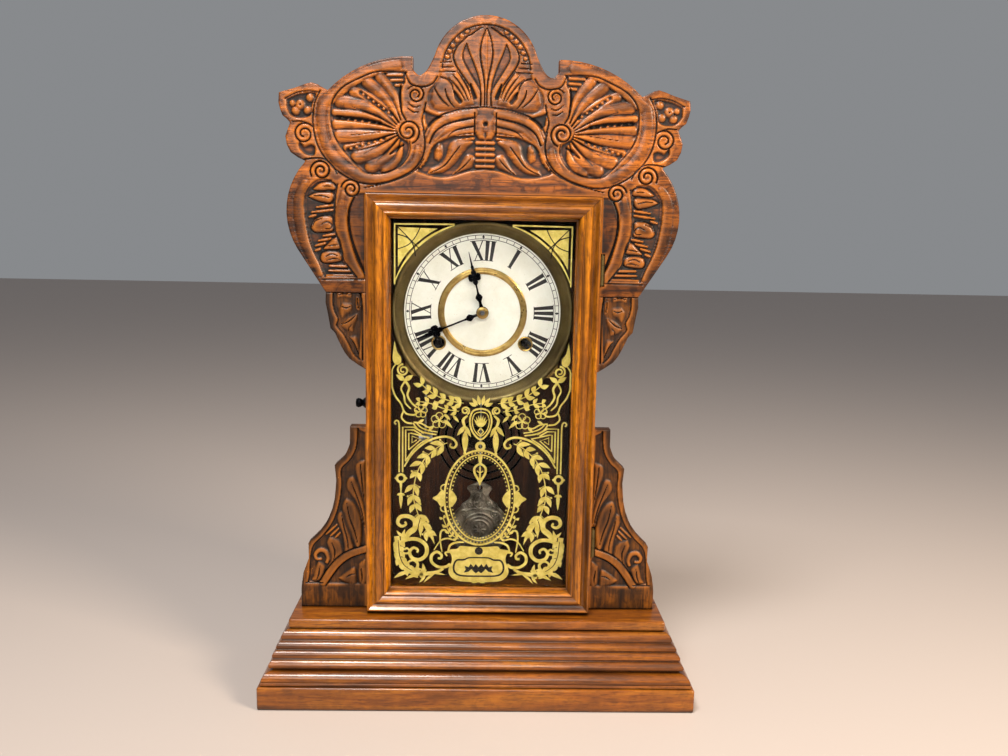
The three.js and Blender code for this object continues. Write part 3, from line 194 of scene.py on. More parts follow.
def arcLine(x, z, radius, start, end, steps):
    a = np.radians(np.linspace(start, end, steps + 1))
    return np.stack([x + radius * np.cos(a), z + radius * np.sin(a)], 1)


# A line that winds inwards; turns is negative for clockwise.
def spiral(x, z, outer, inner, start, turns, steps=40):
    t = np.linspace(0, 1, steps + 1)
    a = np.radians(start) + 2 * math.pi * turns * t
    r = outer + (inner - outer) * t
    return np.stack([x + r * np.cos(a), z + r * np.sin(a)], 1)


# camera, light and floor

# the photograph's camera: a phone lens a little below eye level, tipped down at the clock
cameraView = {"place": (0.2, -772.7, 390.8), "tipDown": 8.96, "turnRight": 1.41, "roll": 1.09, "lens": 32.79}


def makeCamera():
    a, b, c = [math.radians(cameraView[k]) for k in ("tipDown", "turnRight", "roll")]
    forward = Vector((math.sin(b) * math.cos(a), math.cos(b) * math.cos(a), -math.sin(a)))
    right = Vector((math.cos(b), -math.sin(b), 0))
    up = right.cross(forward)
    rolledRight = math.cos(c) * right + math.sin(c) * up
    rolledUp = math.cos(c) * up - math.sin(c) * right
    camera = bpy.data.cameras.new("camera")
    camera.lens = cameraView["lens"]
    camera.sensor_width = 36.0
    holder = collectionLink(bpy.data.objects.new("camera", camera))
    matrix = Matrix((rolledRight, rolledUp, -forward)).transposed().to_4x4()
    matrix.translation = Vector(cameraView["place"]) * mm
    holder.matrix_world = matrix
    bpy.context.scene.camera = holder


# a large soft window of light above left, a weaker one to the right, and a strip high in front
lamps = {
    "keyLamp": {"at": (-300, -640, 1500), "size": 380, "watts": 22, "hex": "#f9f6f0"},
    "rightLamp": {"at": (900, -700, 900), "size": 380, "watts": 19, "hex": "#ffecd2"},
    "frontStrip": {"at": (-150, -1500, 1000), "size": 800, "watts": 12, "hex": "#fdfcf4"},
}
lampAim = (0, 0, 280)
surround = {"hex": "#c9ccd0", "strength": 0.42}
floorLook = {"hex": "#bdb0a9", "rough": 0.75, "reach": 6000}


def makeLights():
    for name, lamp in lamps.items():
        light = bpy.data.lights.new(name, "AREA")
        light.energy = lamp["watts"]
        light.size = lamp["size"] * mm
        light.color = linear(lamp["hex"])[:3]
        holder = collectionLink(bpy.data.objects.new(name, light))
        holder.location = Vector(lamp["at"]) * mm
        aim = Vector(lampAim) * mm - holder.location
        holder.rotation_euler = aim.to_track_quat("-Z", "Y").to_euler()
    world = bpy.data.worlds.new("studio")
    bpy.context.scene.world = world
    world.use_nodes = True
    background = world.node_tree.nodes["Background"]
    background.inputs["Color"].default_value = linear(surround["hex"])
    background.inputs["Strength"].default_value = surround["strength"]


def makeFloor():
    mesh = bpy.data.meshes.new("floor")
    reach = floorLook["reach"] * mm
    mesh.from_pydata([(-reach, -reach, 0), (reach, -reach, 0), (reach, reach, 0), (-reach, reach, 0)], [],
                     [(0, 1, 2, 3)])
    floor = collectionLink(bpy.data.objects.new("floor", mesh))
    material, _, shader = newMaterial("pale studio floor")
    shader.inputs["Base Color"].default_value = linear(floorLook["hex"])
    shader.inputs["Roughness"].default_value = floorLook["rough"]
    mesh.materials.append(material)


makeCamera()
makeLights()
makeFloor()
bpy.context.scene.view_settings.view_transform = "Standard"
print("camera, lights and floor made")


# Oak: open straight grain with dark pores, stained and varnished. The pores are drawn wider than the real ones, so that
# they show. On pressed carving the cuts are darkened, for the old varnish gathered there and as painted shade, and the
# raised parts are lightened, for what hands have rubbed and as a painted highlight.
oakLooks = {
    "crest": {"light": "#c06c22", "mid": "#894913", "dark": "#260e03", "grain": "x", "gloss": 0.22, "carvingWearShadeAndHighlight": True,
              "stain": 0.7,
              "dullBelow": (404, 432, 0.45)},
    "wing": {"light": "#82490e", "mid": "#552f06", "dark": "#200e02", "grain": "z", "gloss": 0.3, "carvingWearShadeAndHighlight": True,
             "coat": 0.45, "stain": 0.6},
    "doorUpright": {"light": "#d07e0a", "mid": "#a05c06", "dark": "#4e2702", "grain": "z", "gloss": 0.16, "coat": 0.9,
                    "stain": 0.25, "cloud": 0.8},
    "doorAcross": {"light": "#d07e0a", "mid": "#a05c06", "dark": "#4e2702", "grain": "x", "gloss": 0.16, "coat": 0.9,
                   "stain": 0.25, "cloud": 0.8},
    "base": {"light": "#a4610f", "mid": "#88490a", "dark": "#532a05", "grain": "x", "gloss": 0.13, "coat": 1.0,
             "stain": 0.25, "cloud": 0.75},
    "baseReturn": {"light": "#a4610f", "mid": "#88490a", "dark": "#532a05", "grain": "y", "gloss": 0.13, "coat": 1.0,
                   "stain": 0.25, "cloud": 0.75},
    "case": {"light": "#62330f", "mid": "#432008", "dark": "#220e04", "grain": "z", "gloss": 0.5},
    "caseTop": {"light": "#62330f", "mid": "#432008", "dark": "#220e04", "grain": "x", "gloss": 0.5},
}
# millimetres, but along is how much longer than wide the figure is
oakScale = {"ring": 9.0, "pore": 1.3, "along": 12.0, "cloud": 45.0, "stain": 10.0, "corner": 6.0}


def stretched(tree, position, across, grain, shift=0.0):
    along = across * oakScale["along"]
    scale = [1 / (along * mm) if axis == grain else 1 / (across * mm) for axis in "xyz"]
    return addNode(tree, "ShaderNodeMapping", {"Vector": position, "Scale": scale, "Location": (shift, shift, shift)})


def ramp(tree, value, stops):
    node = addNode(tree, "ShaderNodeValToRGB", {"Fac": value})
    elements = node.color_ramp.elements
    while len(elements) < len(stops):
        elements.new(0.5)
    for element, (place, colour) in zip(elements, stops):
        element.position = place
        element.color = linear(colour) if isinstance(colour, str) else (colour, colour, colour, 1)
    return node.outputs["Color"]


def mixed(tree, factor, first, second, blend="MIX"):
    node = addNode(tree, "ShaderNodeMix", data_type="RGBA", blend_type=blend)
    for index, value in ((0, factor), (6, first), (7, second)):
        if isinstance(value, bpy.types.NodeSocket):
            tree.links.new(value, node.inputs[index])
        else:
            node.inputs[index].default_value = value
    return node.outputs[2]


def oak(name, look, shift=0.0):
    material, tree, shader = newMaterial(name + " oak, varnished")
    position = addNode(tree, "ShaderNodeTexCoord").outputs["Object"]
    rings = addNode(tree, "ShaderNodeTexNoise", {
        "Vector": stretched(tree, position, oakScale["ring"], look["grain"], shift).outputs[0],
        "Scale": 1.0, "Detail": 5.0, "Roughness": 0.62, "Distortion": 0.6}).outputs["Fac"]
    pores = addNode(tree, "ShaderNodeTexNoise", {
        "Vector": stretched(tree, position, oakScale["pore"], look["grain"], shift + 3).outputs[0],
        "Scale": 1.0, "Detail": 3.0, "Roughness": 0.7}).outputs["Fac"]
    clouds = addNode(tree, "ShaderNodeTexNoise", {
        "Vector": position, "Scale": 1 / (oakScale["cloud"] * mm), "Detail": 3.0}).outputs["Fac"]
    stains = addNode(tree, "ShaderNodeTexNoise", {
        "Vector": position, "Scale": 1 / (oakScale["stain"] * mm), "Detail": 4.0, "Distortion": 0.8}).outputs["Fac"]
    colour = ramp(tree, rings, [(0.34, look["dark"]), (0.5, look["mid"]), (0.66, look["light"])])
    dirt = ramp(tree, clouds, [(0.34, look.get("cloud", 0.6)), (0.64, 1.1)])
    colour = mixed(tree, 1.0, colour, dirt, "MULTIPLY")
    stainMask = ramp(tree, stains, [(0.47, 0.0), (0.6, look.get("stain", 0.4))])
    colour = mixed(tree, stainMask, colour, linear(look["dark"]))
    poreMask = ramp(tree, pores, [(0.38, 1.0), (0.49, 0.0)])
    colour = mixed(tree, poreMask, colour, mixed(tree, 0.7, colour, linear(look["dark"])))
    # the colour is darker towards the bottom: full above the high mark, the least factor below the low mark
    if look.get("dullBelow"):
        low, high, least = look["dullBelow"]
        upright = addNode(tree, "ShaderNodeSeparateXYZ", {"Vector": position}).outputs["Z"]
        rise = addNode(tree, "ShaderNodeMapRange", {"Value": upright, "From Min": low * mm, "From Max": high * mm,
                                                    "To Min": least, "To Max": 1.0}).outputs["Result"]
        colour = mixed(tree, 1.0, colour, rise, "MULTIPLY")
    # painted shade: ambient occlusion darkens the colour in corners and crevices, down to a fifth
    occlusionShade = addNode(tree, "ShaderNodeAmbientOcclusion", {"Distance": oakScale["corner"] * mm},
                       samples=6).outputs["AO"]
    colour = mixed(tree, 1.0, colour, ramp(tree, occlusionShade, [(0.35, 0.2), (0.9, 1.0)]), "MULTIPLY")
    height = addNode(tree, "ShaderNodeMath", {0: pores, 1: 0.6}, operation="MULTIPLY").outputs[0]
    rough = ramp(tree, rings, [(0.2, look["gloss"] + 0.16), (0.8, look["gloss"] - 0.04)])
    if look.get("carvingWearShadeAndHighlight"):
        hollowVarnishAndShade = addNode(tree, "ShaderNodeAttribute", attribute_name="hollowVarnishAndShade").outputs["Fac"]
        rubbedWearAndHighlight = addNode(tree, "ShaderNodeAttribute", attribute_name="rubbedWearAndHighlight").outputs["Fac"]
        # painted highlight with rubbing wear: the carving's raised parts are lightened towards orange
        colour = mixed(tree, rubbedWearAndHighlight, colour, mixed(tree, 0.45, colour, linear("#d07c2c")))
        # painted shade with gathered old varnish: the carving's cuts are darkened
        colour = mixed(tree, hollowVarnishAndShade, colour, mixed(tree, 1.0, colour, linear("#4a2a16"), "MULTIPLY"))
        rough = mixed(tree, hollowVarnishAndShade, rough, (0.7, 0.7, 0.7, 1))
    bump = addNode(tree, "ShaderNodeBump", {"Height": height, "Strength": 0.35, "Distance": 0.25 * mm})
    tree.links.new(bump.outputs[0], shader.inputs["Normal"])
    tree.links.new(bump.outputs[0], shader.inputs["Coat Normal"])
    tree.links.new(colour, shader.inputs["Base Color"])
    tree.links.new(rough, shader.inputs["Coat Roughness"])
    shader.inputs["Roughness"].default_value = 0.5
    shader.inputs["Specular IOR Level"].default_value = 0.1
    shader.inputs["Coat Weight"].default_value = look.get("coat", 0.6)
    return material


oaks = {name: oak(name, look, 0.37 * i) for i, (name, look) in enumerate(oakLooks.items())}
print("oaks made")


# Pressed carving: a board's face as a height field on a fine grid, marked with bands, leaves and
# cuts as the roller die left them. Heights are millimetres in front of the board's plane.
carving = {"step": 0.65, "face": 1.35, "ground": -0.5, "groove": 1.5, "arris": 0.7}


def newSheet(low, high, face=0.0, step=carving["step"]):
    x = np.arange(low[0] - step, high[0] + 2 * step, step)
    z = np.arange(low[1] - step, high[1] + 2 * step, step)
    return {"x": x, "z": z, "step": step, "raised": np.full((len(z), len(x)), face),
            "cut": np.zeros((len(z), len(x)))}


# the part of the sheet near a line, with each point's distance to it and its place along it
def nearLine(sheet, line, reach):
    line = np.asarray(line, float)
    low, high = line.min(0) - reach, line.max(0) + reach
    i0, i1 = np.searchsorted(sheet["x"], [low[0], high[0]])
    j0, j1 = np.searchsorted(sheet["z"], [low[1], high[1]])
    x, z = np.meshgrid(sheet["x"][i0:i1], sheet["z"][j0:j1])
    best = np.full(x.shape, 1e9)
    along = np.zeros(x.shape)
    lengths = np.hypot(*np.diff(line, axis=0).T)
    total, run = max(lengths.sum(), 1e-9), 0.0
    for (ax, az), (bx, bz), length in zip(line[:-1], line[1:], lengths):
        if length < 1e-9:
            continue
        t = np.clip(((x - ax) * (bx - ax) + (z - az) * (bz - az)) / length ** 2, 0, 1)
        d = np.hypot(x - ax - t * (bx - ax), z - az - t * (bz - az))
        closer = d < best
        best = np.where(closer, d, best)
        along = np.where(closer, (run + t * length) / total, along)
        run += length
    return (slice(j0, j1), slice(i0, i1)), x, z, best, along


def insideOf(x, z, outline):
    inside = np.zeros(x.shape, bool)
    for (ax, az), (bx, bz) in zip(outline, np.roll(outline, -1, axis=0)):
        if az == bz:
            continue
        crosses = (az > z) != (bz > z)
        inside ^= crosses & (x < (bx - ax) * (z - az) / (bz - az) + ax)
    return inside


def widthAt(widths, along):
    widths = np.atleast_1d(widths)
    return np.interp(along, np.linspace(0, 1, len(widths)), widths) / 2


# a raised rounded band; base is where its sides start
def ridge(sheet, line, widths, height=1.2, base=None, crown=0.5):
    base = carving["ground"] if base is None else base
    window, _, _, d, along = nearLine(sheet, line, max(np.atleast_1d(widths)) / 2 + 1)
    u = d / widthAt(widths, along)
    value = base + (height - base) * np.clip(1 - u ** 2, 0, 1) ** crown
    raised = sheet["raised"][window]
    sheet["raised"][window] = np.where(u < 1, np.maximum(raised, value), raised)


# a V-shaped cut
def groove(sheet, line, widths=1.6, depth=None):
    depth = carving["groove"] if depth is None else depth
    window, _, _, d, along = nearLine(sheet, line, max(np.atleast_1d(widths)) / 2 + 1)
    value = depth * np.clip(1 - d / np.maximum(widthAt(widths, along), 0.05), 0, 1) ** 0.85
    sheet["cut"][window] = np.maximum(sheet["cut"][window], value)


# the ground inside an outline, pressed back with sloping sides
def sink(sheet, outline, level=None, slope=1.4):
    level = carving["ground"] if level is None else level
    outline = np.asarray(outline, float)
    window, x, z, d, _ = nearLine(sheet, np.vstack([outline, outline[:1]]), 2)
    raised = sheet["raised"][window]
    pressed = raised + (level - raised) * np.clip(d / slope, 0, 1)
    sheet["raised"][window] = np.where(insideOf(x, z, outline), np.minimum(raised, pressed), raised)


# a leaf or pillow that swells up from its outline
def pad(sheet, outline, height=1.2, base=None, soft=1.8):
    base = carving["ground"] if base is None else base
    outline = np.asarray(outline, float)
    window, x, z, d, _ = nearLine(sheet, np.vstack([outline, outline[:1]]), 2)
    value = base + (height - base) * (1 - np.exp(-d / soft))
    raised = sheet["raised"][window]
    sheet["raised"][window] = np.where(insideOf(x, z, outline), np.maximum(raised, value), raised)


# a band at the level of the board's face, rounded over and let down at its edges
def rounded(sheet, line, widths, rise=0.55, drop=0.6):
    window, _, _, d, along = nearLine(sheet, line, max(np.atleast_1d(widths)) / 2 + 1)
    u = d / widthAt(widths, along)
    value = carving["face"] - drop + (rise + drop) * np.sqrt(np.clip(1 - u ** 2, 0, 1))
    raised = sheet["raised"][window]
    sheet["raised"][window] = np.where(u < 1, value, raised)


def knob(sheet, x, z, radius, height=1.3, base=None):
    ridge(sheet, [(x, z), (x + 0.01, z)], 2 * radius, height, base)


# short parallel bars across a line, as the ladders of the pattern have
def ladder(sheet, line, count, length, width, height=1.1):
    line = np.asarray(line, float)
    for t in np.linspace(0, 1, count):
        at = np.array([np.interp(t, np.linspace(0, 1, len(line)), line[:, k]) for k in (0, 1)])
        run = line[-1] - line[0]
        across = np.array([-run[1], run[0]]) / np.hypot(*run) * length / 2
        ridge(sheet, [at - across, at + across], width, height)


# a dark channel with a row of beads in it
def beadRow(sheet, line, count, width, bead):
    groove(sheet, line, width, 2.2)
    line = np.asarray(line, float)
    for t in np.linspace(0.08, 0.92, count):
        x, z = [np.interp(t, np.linspace(0, 1, len(line)), line[:, k]) for k in (0, 1)]
        window, _, _, d, _ = nearLine(sheet, [(x, z), (x + 0.01, z)], bead)
        lift = 2.0 * np.clip(1 - (d / bead * 2) ** 2, 0, 1)
        sheet["cut"][window] = np.minimum(sheet["cut"][window], 2.2 - np.where(lift > 0, lift, -9))


# the outline of a board, taken from the back of its CAD solid
def boardOutline(node):
    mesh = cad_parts[node].data
    back = max(v.co.y for v in mesh.vertices)
    key = {v.index: (round(v.co.x / mm, 3), round(v.co.z / mm, 3)) for v in mesh.vertices
           if v.co.y > back - 1e-5}
    uses = {}
    for polygon in mesh.polygons:
        flat = all(i in key for i in polygon.vertices)
        ring = list(polygon.vertices)
        for a, b in zip(ring, ring[1:] + ring[:1]):
            if flat and key[a] != key[b]:
                uses.setdefault(frozenset((key[a], key[b])), []).append(1)
    edges = [tuple(edge) for edge, found in uses.items() if len(found) == 1]
    near = {}
    for a, b in edges:
        near.setdefault(a, []).append(b)
        near.setdefault(b, []).append(a)
    start = edges[0][0]
    outline, before, now = [start], None, start
    while True:
        after = [p for p in near[now] if p != before][0]
        if after == start:
            break
        outline.append(after)
        before, now = now, after
    return np.array(outline)


def softened(values, step, reach):
    size = max(1, int(round(reach / step)))
    kernel = np.ones(size * 2 + 1) / (size * 2 + 1)
    for _ in range(2):
        for axis in (0, 1):
            values = np.apply_along_axis(lambda row: np.convolve(np.pad(row, size, "edge"), kernel, "valid"),
                                         axis, values)
    return values


# a carved board: the marked sheet in front, the outline's walls, and a flat back
def carvedBoard(name, node, sheet, body, material, flip=False, rings=None, planes=(boardFace, boardBack)):
    rings = rings or [boardOutline(node)]
    step = sheet["step"]
    height = sheet["raised"] - sheet["cut"]
    if flip:
        height = height[:, ::-1]
    xs = -sheet["x"][::-1] if flip else sheet["x"]
    x, z = np.meshgrid(xs, sheet["z"])
    nearest = np.full(x.shape, 1e9)
    onX, onZ = x.copy(), z.copy()
    edges = [pair for ring in rings for pair in zip(ring, np.roll(ring, -1, axis=0))]
    for (ax, az), (bx, bz) in edges:
        j0, j1 = np.searchsorted(sheet["z"], [min(az, bz) - 4 * step, max(az, bz) + 4 * step])
        i0, i1 = np.searchsorted(xs, [min(ax, bx) - 4 * step, max(ax, bx) + 4 * step])
        w = (slice(j0, j1), slice(i0, i1))
        t = np.clip(((x[w] - ax) * (bx - ax) + (z[w] - az) * (bz - az)) / ((bx - ax) ** 2 + (bz - az) ** 2), 0, 1)
        px, pz = ax + t * (bx - ax), az + t * (bz - az)
        d = np.hypot(x[w] - px, z[w] - pz)
        closer = d < nearest[w]
        nearest[w] = np.where(closer, d, nearest[w])
        onX[w], onZ[w] = np.where(closer, px, onX[w]), np.where(closer, pz, onZ[w])
    inside = nearest > 0.3 * step
    for ring, kept in zip(rings, [True] + [False] * len(rings)):
        inside &= insideOf(x, z, ring) == kept
    arris = carving["arris"]
    edge = np.clip(1 - nearest / arris, 0, 1)
    rounded = height - arris * 0.8 * (1 - np.sqrt(1 - edge ** 2))
    x, z = np.where(inside, x, onX), np.where(inside, z, onZ)
    front = np.where(inside, rounded, height - arris * 0.8)
    kept = inside[:-1, :-1] | inside[1:, :-1] | inside[:-1, 1:] | inside[1:, 1:]
    used = np.zeros(x.shape, bool)
    for dj, di in ((0, 0), (1, 0), (0, 1), (1, 1)):
        used[dj:dj + kept.shape[0], di:di + kept.shape[1]] |= kept
    number = np.full(x.shape, -1)
    number[used] = np.arange(used.sum())
    points = np.stack([x[used], planes[0] - front[used], z[used]], 1)
    j, i = np.nonzero(kept)
    faces = np.stack([number[j, i], number[j, i + 1], number[j + 1, i + 1], number[j + 1, i]], 1)
    soft = softened(height, step, 2.0)
    # sunk below their surroundings or below the face: darkened for gathered old varnish and as painted shade
    hollowVarnishAndShade = np.clip((soft - height - 0.05) / 0.55, 0, 1) + np.clip((-height - 0.1) * 1.1, 0, 0.4)
    # raised above their surroundings: lightened for rubbing wear and as a painted highlight
    rubbedWearAndHighlight = np.clip((height - soft - 0.05) / 0.5, 0, 1)

    # walls and back
    sides = {}
    for ring in (faces[:, [0, 1]], faces[:, [1, 2]], faces[:, [2, 3]], faces[:, [3, 0]]):
        for a, b in ring.tolist():
            if (b, a) in sides:
                del sides[(b, a)]
            else:
                sides[(a, b)] = True
    onward = dict(sides.keys())
    base, backPoints, flat = len(points), [], []
    allFaces = [tuple(f) for f in faces.tolist()]
    while onward:
        loop = [next(iter(onward))]
        following = onward.pop(loop[0])
        while following != loop[0]:
            loop.append(following)
            following = onward.pop(following)
        start, count = base + len(backPoints), len(loop)
        backPoints += [(points[k][0], planes[1], points[k][2]) for k in loop]
        flat.append([Vector((points[k][0], points[k][2], 0)) for k in loop])
        allFaces += [(loop[(k + 1) % count], loop[k], start + k, start + (k + 1) % count) for k in range(count)]
    allPoints = np.vstack([points, backPoints])
    allFaces += [tuple(base + k for k in triangle) for triangle in tessellate_polygon(flat)]

    mesh = bpy.data.meshes.new(name)
    mesh.from_pydata((allPoints * mm).tolist(), [], allFaces)
    for label, values in (("hollowVarnishAndShade", hollowVarnishAndShade), ("rubbedWearAndHighlight", rubbedWearAndHighlight)):
        data = np.zeros(len(allPoints), np.float32)
        data[:base] = np.clip(values[used], 0, 1)
        mesh.attributes.new(label, "FLOAT", "POINT").data.foreach_set("value", data)
    work = bmesh.new()
    work.from_mesh(mesh)
    bmesh.ops.remove_doubles(work, verts=work.verts, dist=2e-5)
    bmesh.ops.dissolve_degenerate(work, edges=work.edges, dist=1e-6)
    bmesh.ops.recalc_face_normals(work, faces=work.faces)
    work.to_mesh(mesh)
    work.free()
    piece = collectionLink(bpy.data.objects.new(name, mesh))
    finishPiece(piece, body, material, (node,), angle=50)
    print(name, "carved:", len(mesh.polygons), "faces")
    return piece


# places of the crest's pattern on its left half, in millimetres across and up
crestPattern = {
    "sheet": ((-166, 339), (166, 561)),  # its lower left and upper right corners
    "domeCentre": (0, 517.5), "domeRadius": 42, "domeRim": 7.2,
    "hub": (-61.5, 469.5), "hubRadius": 9.4,
    "curl": (-55.5, 498), "cornerScroll": (-144, 466), "bosses": [(-131, 437.5, 6.3), (-107, 423.5, 5.6)],
    "keystone": {"half": 8, "foot": 464.5, "top": 482, "hole": (0, 476.5), "holeRadius": 2.2},
    # each rib of the shell: its tip, how far it bows, and its width there
    "ribs": [((-84.5, 512.5), 3.0, 9.0), ((-95, 508.5), 3.0, 10.0), ((-106, 500.5), 4.0, 8.6),
             ((-117, 492.5), 5.0, 11.0), ((-121, 483.5), 4.0, 6.0), ((-120.6, 474), 2.0, 8.0),
             ((-118.8, 464.5), -0.5, 11.0), ((-112, 455.5), -2.0, 6.0), ((-104.5, 447.2), -3.0, 11.0),
             ((-92.5, 440), -4.0, 11.0), ((-80.5, 438), -4.0, 9.0)],
    "beads": [((-99, 498.5), (-75, 482.5)), ((-117.5, 479.2), (-84, 475.6)), ((-109.5, 454.5), (-81, 463.3))],
}


# leaves of the crest's ear, each an outline with its veins, and the bars between them
earLeaves = [
    ([(-138.6, 422.6), (-133, 427.6), (-126, 429.4), (-120.6, 428), (-119.6, 423), (-126, 422), (-133, 421.4)],
     [[(-131, 425), (-126, 425.6), (-122, 425)]]),
    ([(-142.4, 417), (-136, 420.4), (-128, 421.2), (-121.6, 420.4), (-120.8, 415.6), (-124.4, 411.8), (-130, 412.4),
      (-136, 414)], [[(-138, 417.4), (-131, 417.8), (-124, 416)]]),
    ([(-137.4, 399), (-131, 402), (-122.6, 401.6), (-121.4, 394), (-122.4, 389.6), (-129, 388.6), (-136.6, 388.4),
      (-140, 392.4)], [[(-131, 395), (-126.4, 397.4), (-122.8, 394.6), (-124.4, 391.6), (-129, 392)],
                       [(-138.6, 393), (-136.4, 397.6), (-131, 399.6)]]),
    ([(-123, 384), (-118.4, 385.6), (-115.8, 380.6), (-115.6, 376), (-120, 374.6), (-126, 374.4), (-130.4, 375.4),
      (-127, 379.6)], [[(-127.4, 377.4), (-122, 378.6), (-117.6, 379)]]),
    ([(-131.6, 372.4), (-126, 374.6), (-118, 374), (-114.6, 371), (-114.8, 366.6), (-119, 364.6), (-126, 363.8),
      (-131, 364.4), (-133, 368)], [[(-128.6, 369), (-123.6, 371.4), (-118.4, 370)],
                                    [(-127, 366.4), (-121, 367.8), (-117, 367)]]),
]
earBars = [
    ([((-135, 408.6), (-122, 410.4)), ((-139, 404.6), (-122, 406.8)), ((-141, 400.8), (-136, 402.4))], 2.6),
    ([((-130, 385.8), (-121, 387.4)), ((-134, 381.8), (-124, 383.8)), ((-136.4, 377.8), (-128.6, 380)),
      ((-137, 373.8), (-132.6, 375.4))], 2.6),
    ([((-125, 361.8), (-107.6, 361.6)), ((-125.6, 358), (-105, 358)), ((-127.4, 354.2), (-102.6, 354.4))], 2.9),
]


def crestSheet():
    face = carving["face"]
    p = crestPattern
    sheet = newSheet(*p["sheet"], face)

    # ground pressed back: dome, shell, leaf spray, small triangle, corner pocket, ear
    domeX, domeZ = p["domeCentre"]
    domeLine = arcLine(domeX, domeZ, p["domeRadius"] - p["domeRim"], 90, 178, 16)
    sink(sheet, np.vstack([domeLine, curve([(-38.5, 510), (-45.5, 501.5), (-47, 494), (-45.5, 488), (-38, 484)], 10),
                           curve([(-30, 484.5), (-22, 487), (-10, 489.3), (0.7, 489.6)], 8), [(0.7, 552.6)]]), 0.6)
    shellLine = np.vstack([
        curve([(-63, 515), (-85, 515), (-100, 509.5), (-113, 502.5), (-120.5, 493.5), (-122.8, 484), (-121.8, 470),
               (-117, 459), (-108, 448.5), (-101, 441), (-94, 436.5), (-82, 436.5), (-70, 441), (-63, 448),
               (-60, 455), (-60.5, 462)], 48),
        curve([(-68, 466), (-71, 473), (-66, 479), (-66.5, 500), (-63.5, 507)], 12)])
    sink(sheet, shellLine)
    sink(sheet, curve([(-46.5, 449), (-42, 459), (-33, 464.8), (-24, 467.8), (-8.5, 470.5), (0.7, 470.5)], 14).tolist()
         + curve([(0.7, 440.5), (-12, 439), (-28, 434), (-42, 434.3), (-56, 439), (-50, 444)], 14).tolist())
    sink(sheet, [(-50, 487), (-43, 484.5), (-33, 481.6), (-39, 478), (-45, 472), (-48.3, 476)])
    sink(sheet, curve([(-158.5, 493), (-150, 497), (-140, 498.6), (-133.5, 497.5), (-137, 488), (-138.5, 480),
                       (-146, 477.3), (-153.5, 479), (-158, 485)], 28))
    sink(sheet, curve([(-148.5, 462), (-149, 455), (-143, 449.5), (-136, 449), (-134.8, 456), (-138.5, 458.5),
                       (-144, 457)], 20))
    earOuter = curve([(-123, 430), (-132.6, 430.6), (-139.4, 426), (-143.6, 419), (-144.4, 410), (-143.8, 400),
                      (-142.4, 390), (-140.4, 380.6), (-136.6, 371), (-132.8, 363), (-129, 353)], 40)
    earInner = curve([(-103, 353), (-108.6, 360), (-113.6, 367), (-115, 375), (-117.4, 382), (-120, 390), (-120.8, 400),
                      (-120, 415), (-118, 427)], 30)
    sink(sheet, np.vstack([earOuter, earInner]))
    sink(sheet, np.vstack([curve([(-105.5, 417.5), (-109.5, 406), (-110.5, 395), (-108.8, 383), (-105.5, 370),
                                  (-101.5, 359), (-96, 351.5)], 18), [(-96, 421), (-100, 421)]]), 0.0, 1.0)

    # dome: flames drawn with V cuts on a flat ground, beads and bars along the rim, and a lobed
    # leaf with two teardrops on each side
    groove(sheet, domeLine, 1.6)
    groove(sheet, curve([(-0.3, 549.6), (-3.5, 541), (-4.9, 532), (-4.2, 524), (-2.2, 514.5), (-0.9, 505), (-0.7, 491)],
                        24),
           [0.7, 1.5, 1.9, 1.6, 1.2])
    flame = [curve([(-15.7, 538), (-18.4, 530.5), (-17.8, 524.5), (-12.2, 515), (-8, 508.5), (-4.6, 503)], 20),
             curve([(-15.7, 538), (-13.4, 531), (-9.6, 522), (-6.6, 514), (-4.7, 507), (-4.6, 503)], 20)]
    sink(sheet, np.vstack([flame[0], flame[1][::-1]]), -0.2, 0.8)
    for line in flame:
        groove(sheet, line, [0.8, 1.7, 1.5])
    groove(sheet, curve([(-4.6, 505), (-4, 499), (-4.2, 490.6)], 8), 1.5)
    groove(sheet, curve([(-3, 550.5), (-8, 547.6), (-12.2, 544.6), (-15, 543.5), (-18.8, 540), (-23.6, 535), (-26, 528),
                         (-24.4, 522), (-20.6, 516), (-15, 508.6), (-11.6, 503.6)], 40), [0.8, 1.8, 1.6, 1.8, 1.2])
    for x, z in ((-15.6, 547), (-19.6, 543.6), (-23.4, 540.2), (-26.6, 536.2), (-29, 531.8), (-30.8, 527.4)):
        groove(sheet, arcLine(x, z, 2.3, 0, 360, 12), 1.1, 0.9)
        knob(sheet, x, z, 2.0, 1.2)
    for z, start, end in ((523, -36, -27.5), (519.4, -36.4, -25.6), (515.9, -36.6, -24)):
        groove(sheet, [(start, z), (end, z + 0.6)], [0.8, 1.4, 1.0], 1.1)
    pad(sheet, curve([(-45.8, 493), (-43.5, 503.5), (-38, 511), (-30, 514), (-23, 517.6), (-16, 509), (-9.4, 498),
                      (-7.6, 490.6), (-15, 488.5), (-24, 486.3), (-34, 484.4), (-42, 486)], 48), 1.6)
    for line in ([(-41, 504), (-38.4, 499), (-34.4, 494), (-29, 489.5)],
                 [(-32.2, 503), (-31.2, 498), (-28.4, 493), (-25, 489)],
                 [(-36, 512), (-30, 510), (-27, 506), (-25.6, 501)],
                 [(-30.2, 511.5), (-25.2, 507), (-20.4, 501), (-16, 494)],
                 [(-26.2, 514), (-21.2, 508), (-17, 501.5), (-14, 494.5)],
                 [(-23, 517), (-17.2, 509), (-14, 503), (-11.5, 496)]):
        groove(sheet, curve(line, 12), [0.7, 1.9, 0.7])
    for line, widths in (([(-25, 501), (-22.8, 497), (-20.4, 493.6)], [1.8, 5.4, 4.4]),
                         ([(-12.3, 507.5), (-10.8, 502.4), (-8.6, 497)], [1.2, 3.8, 4.0])):
        groove(sheet, curve(line, 6), widths, 2.5)

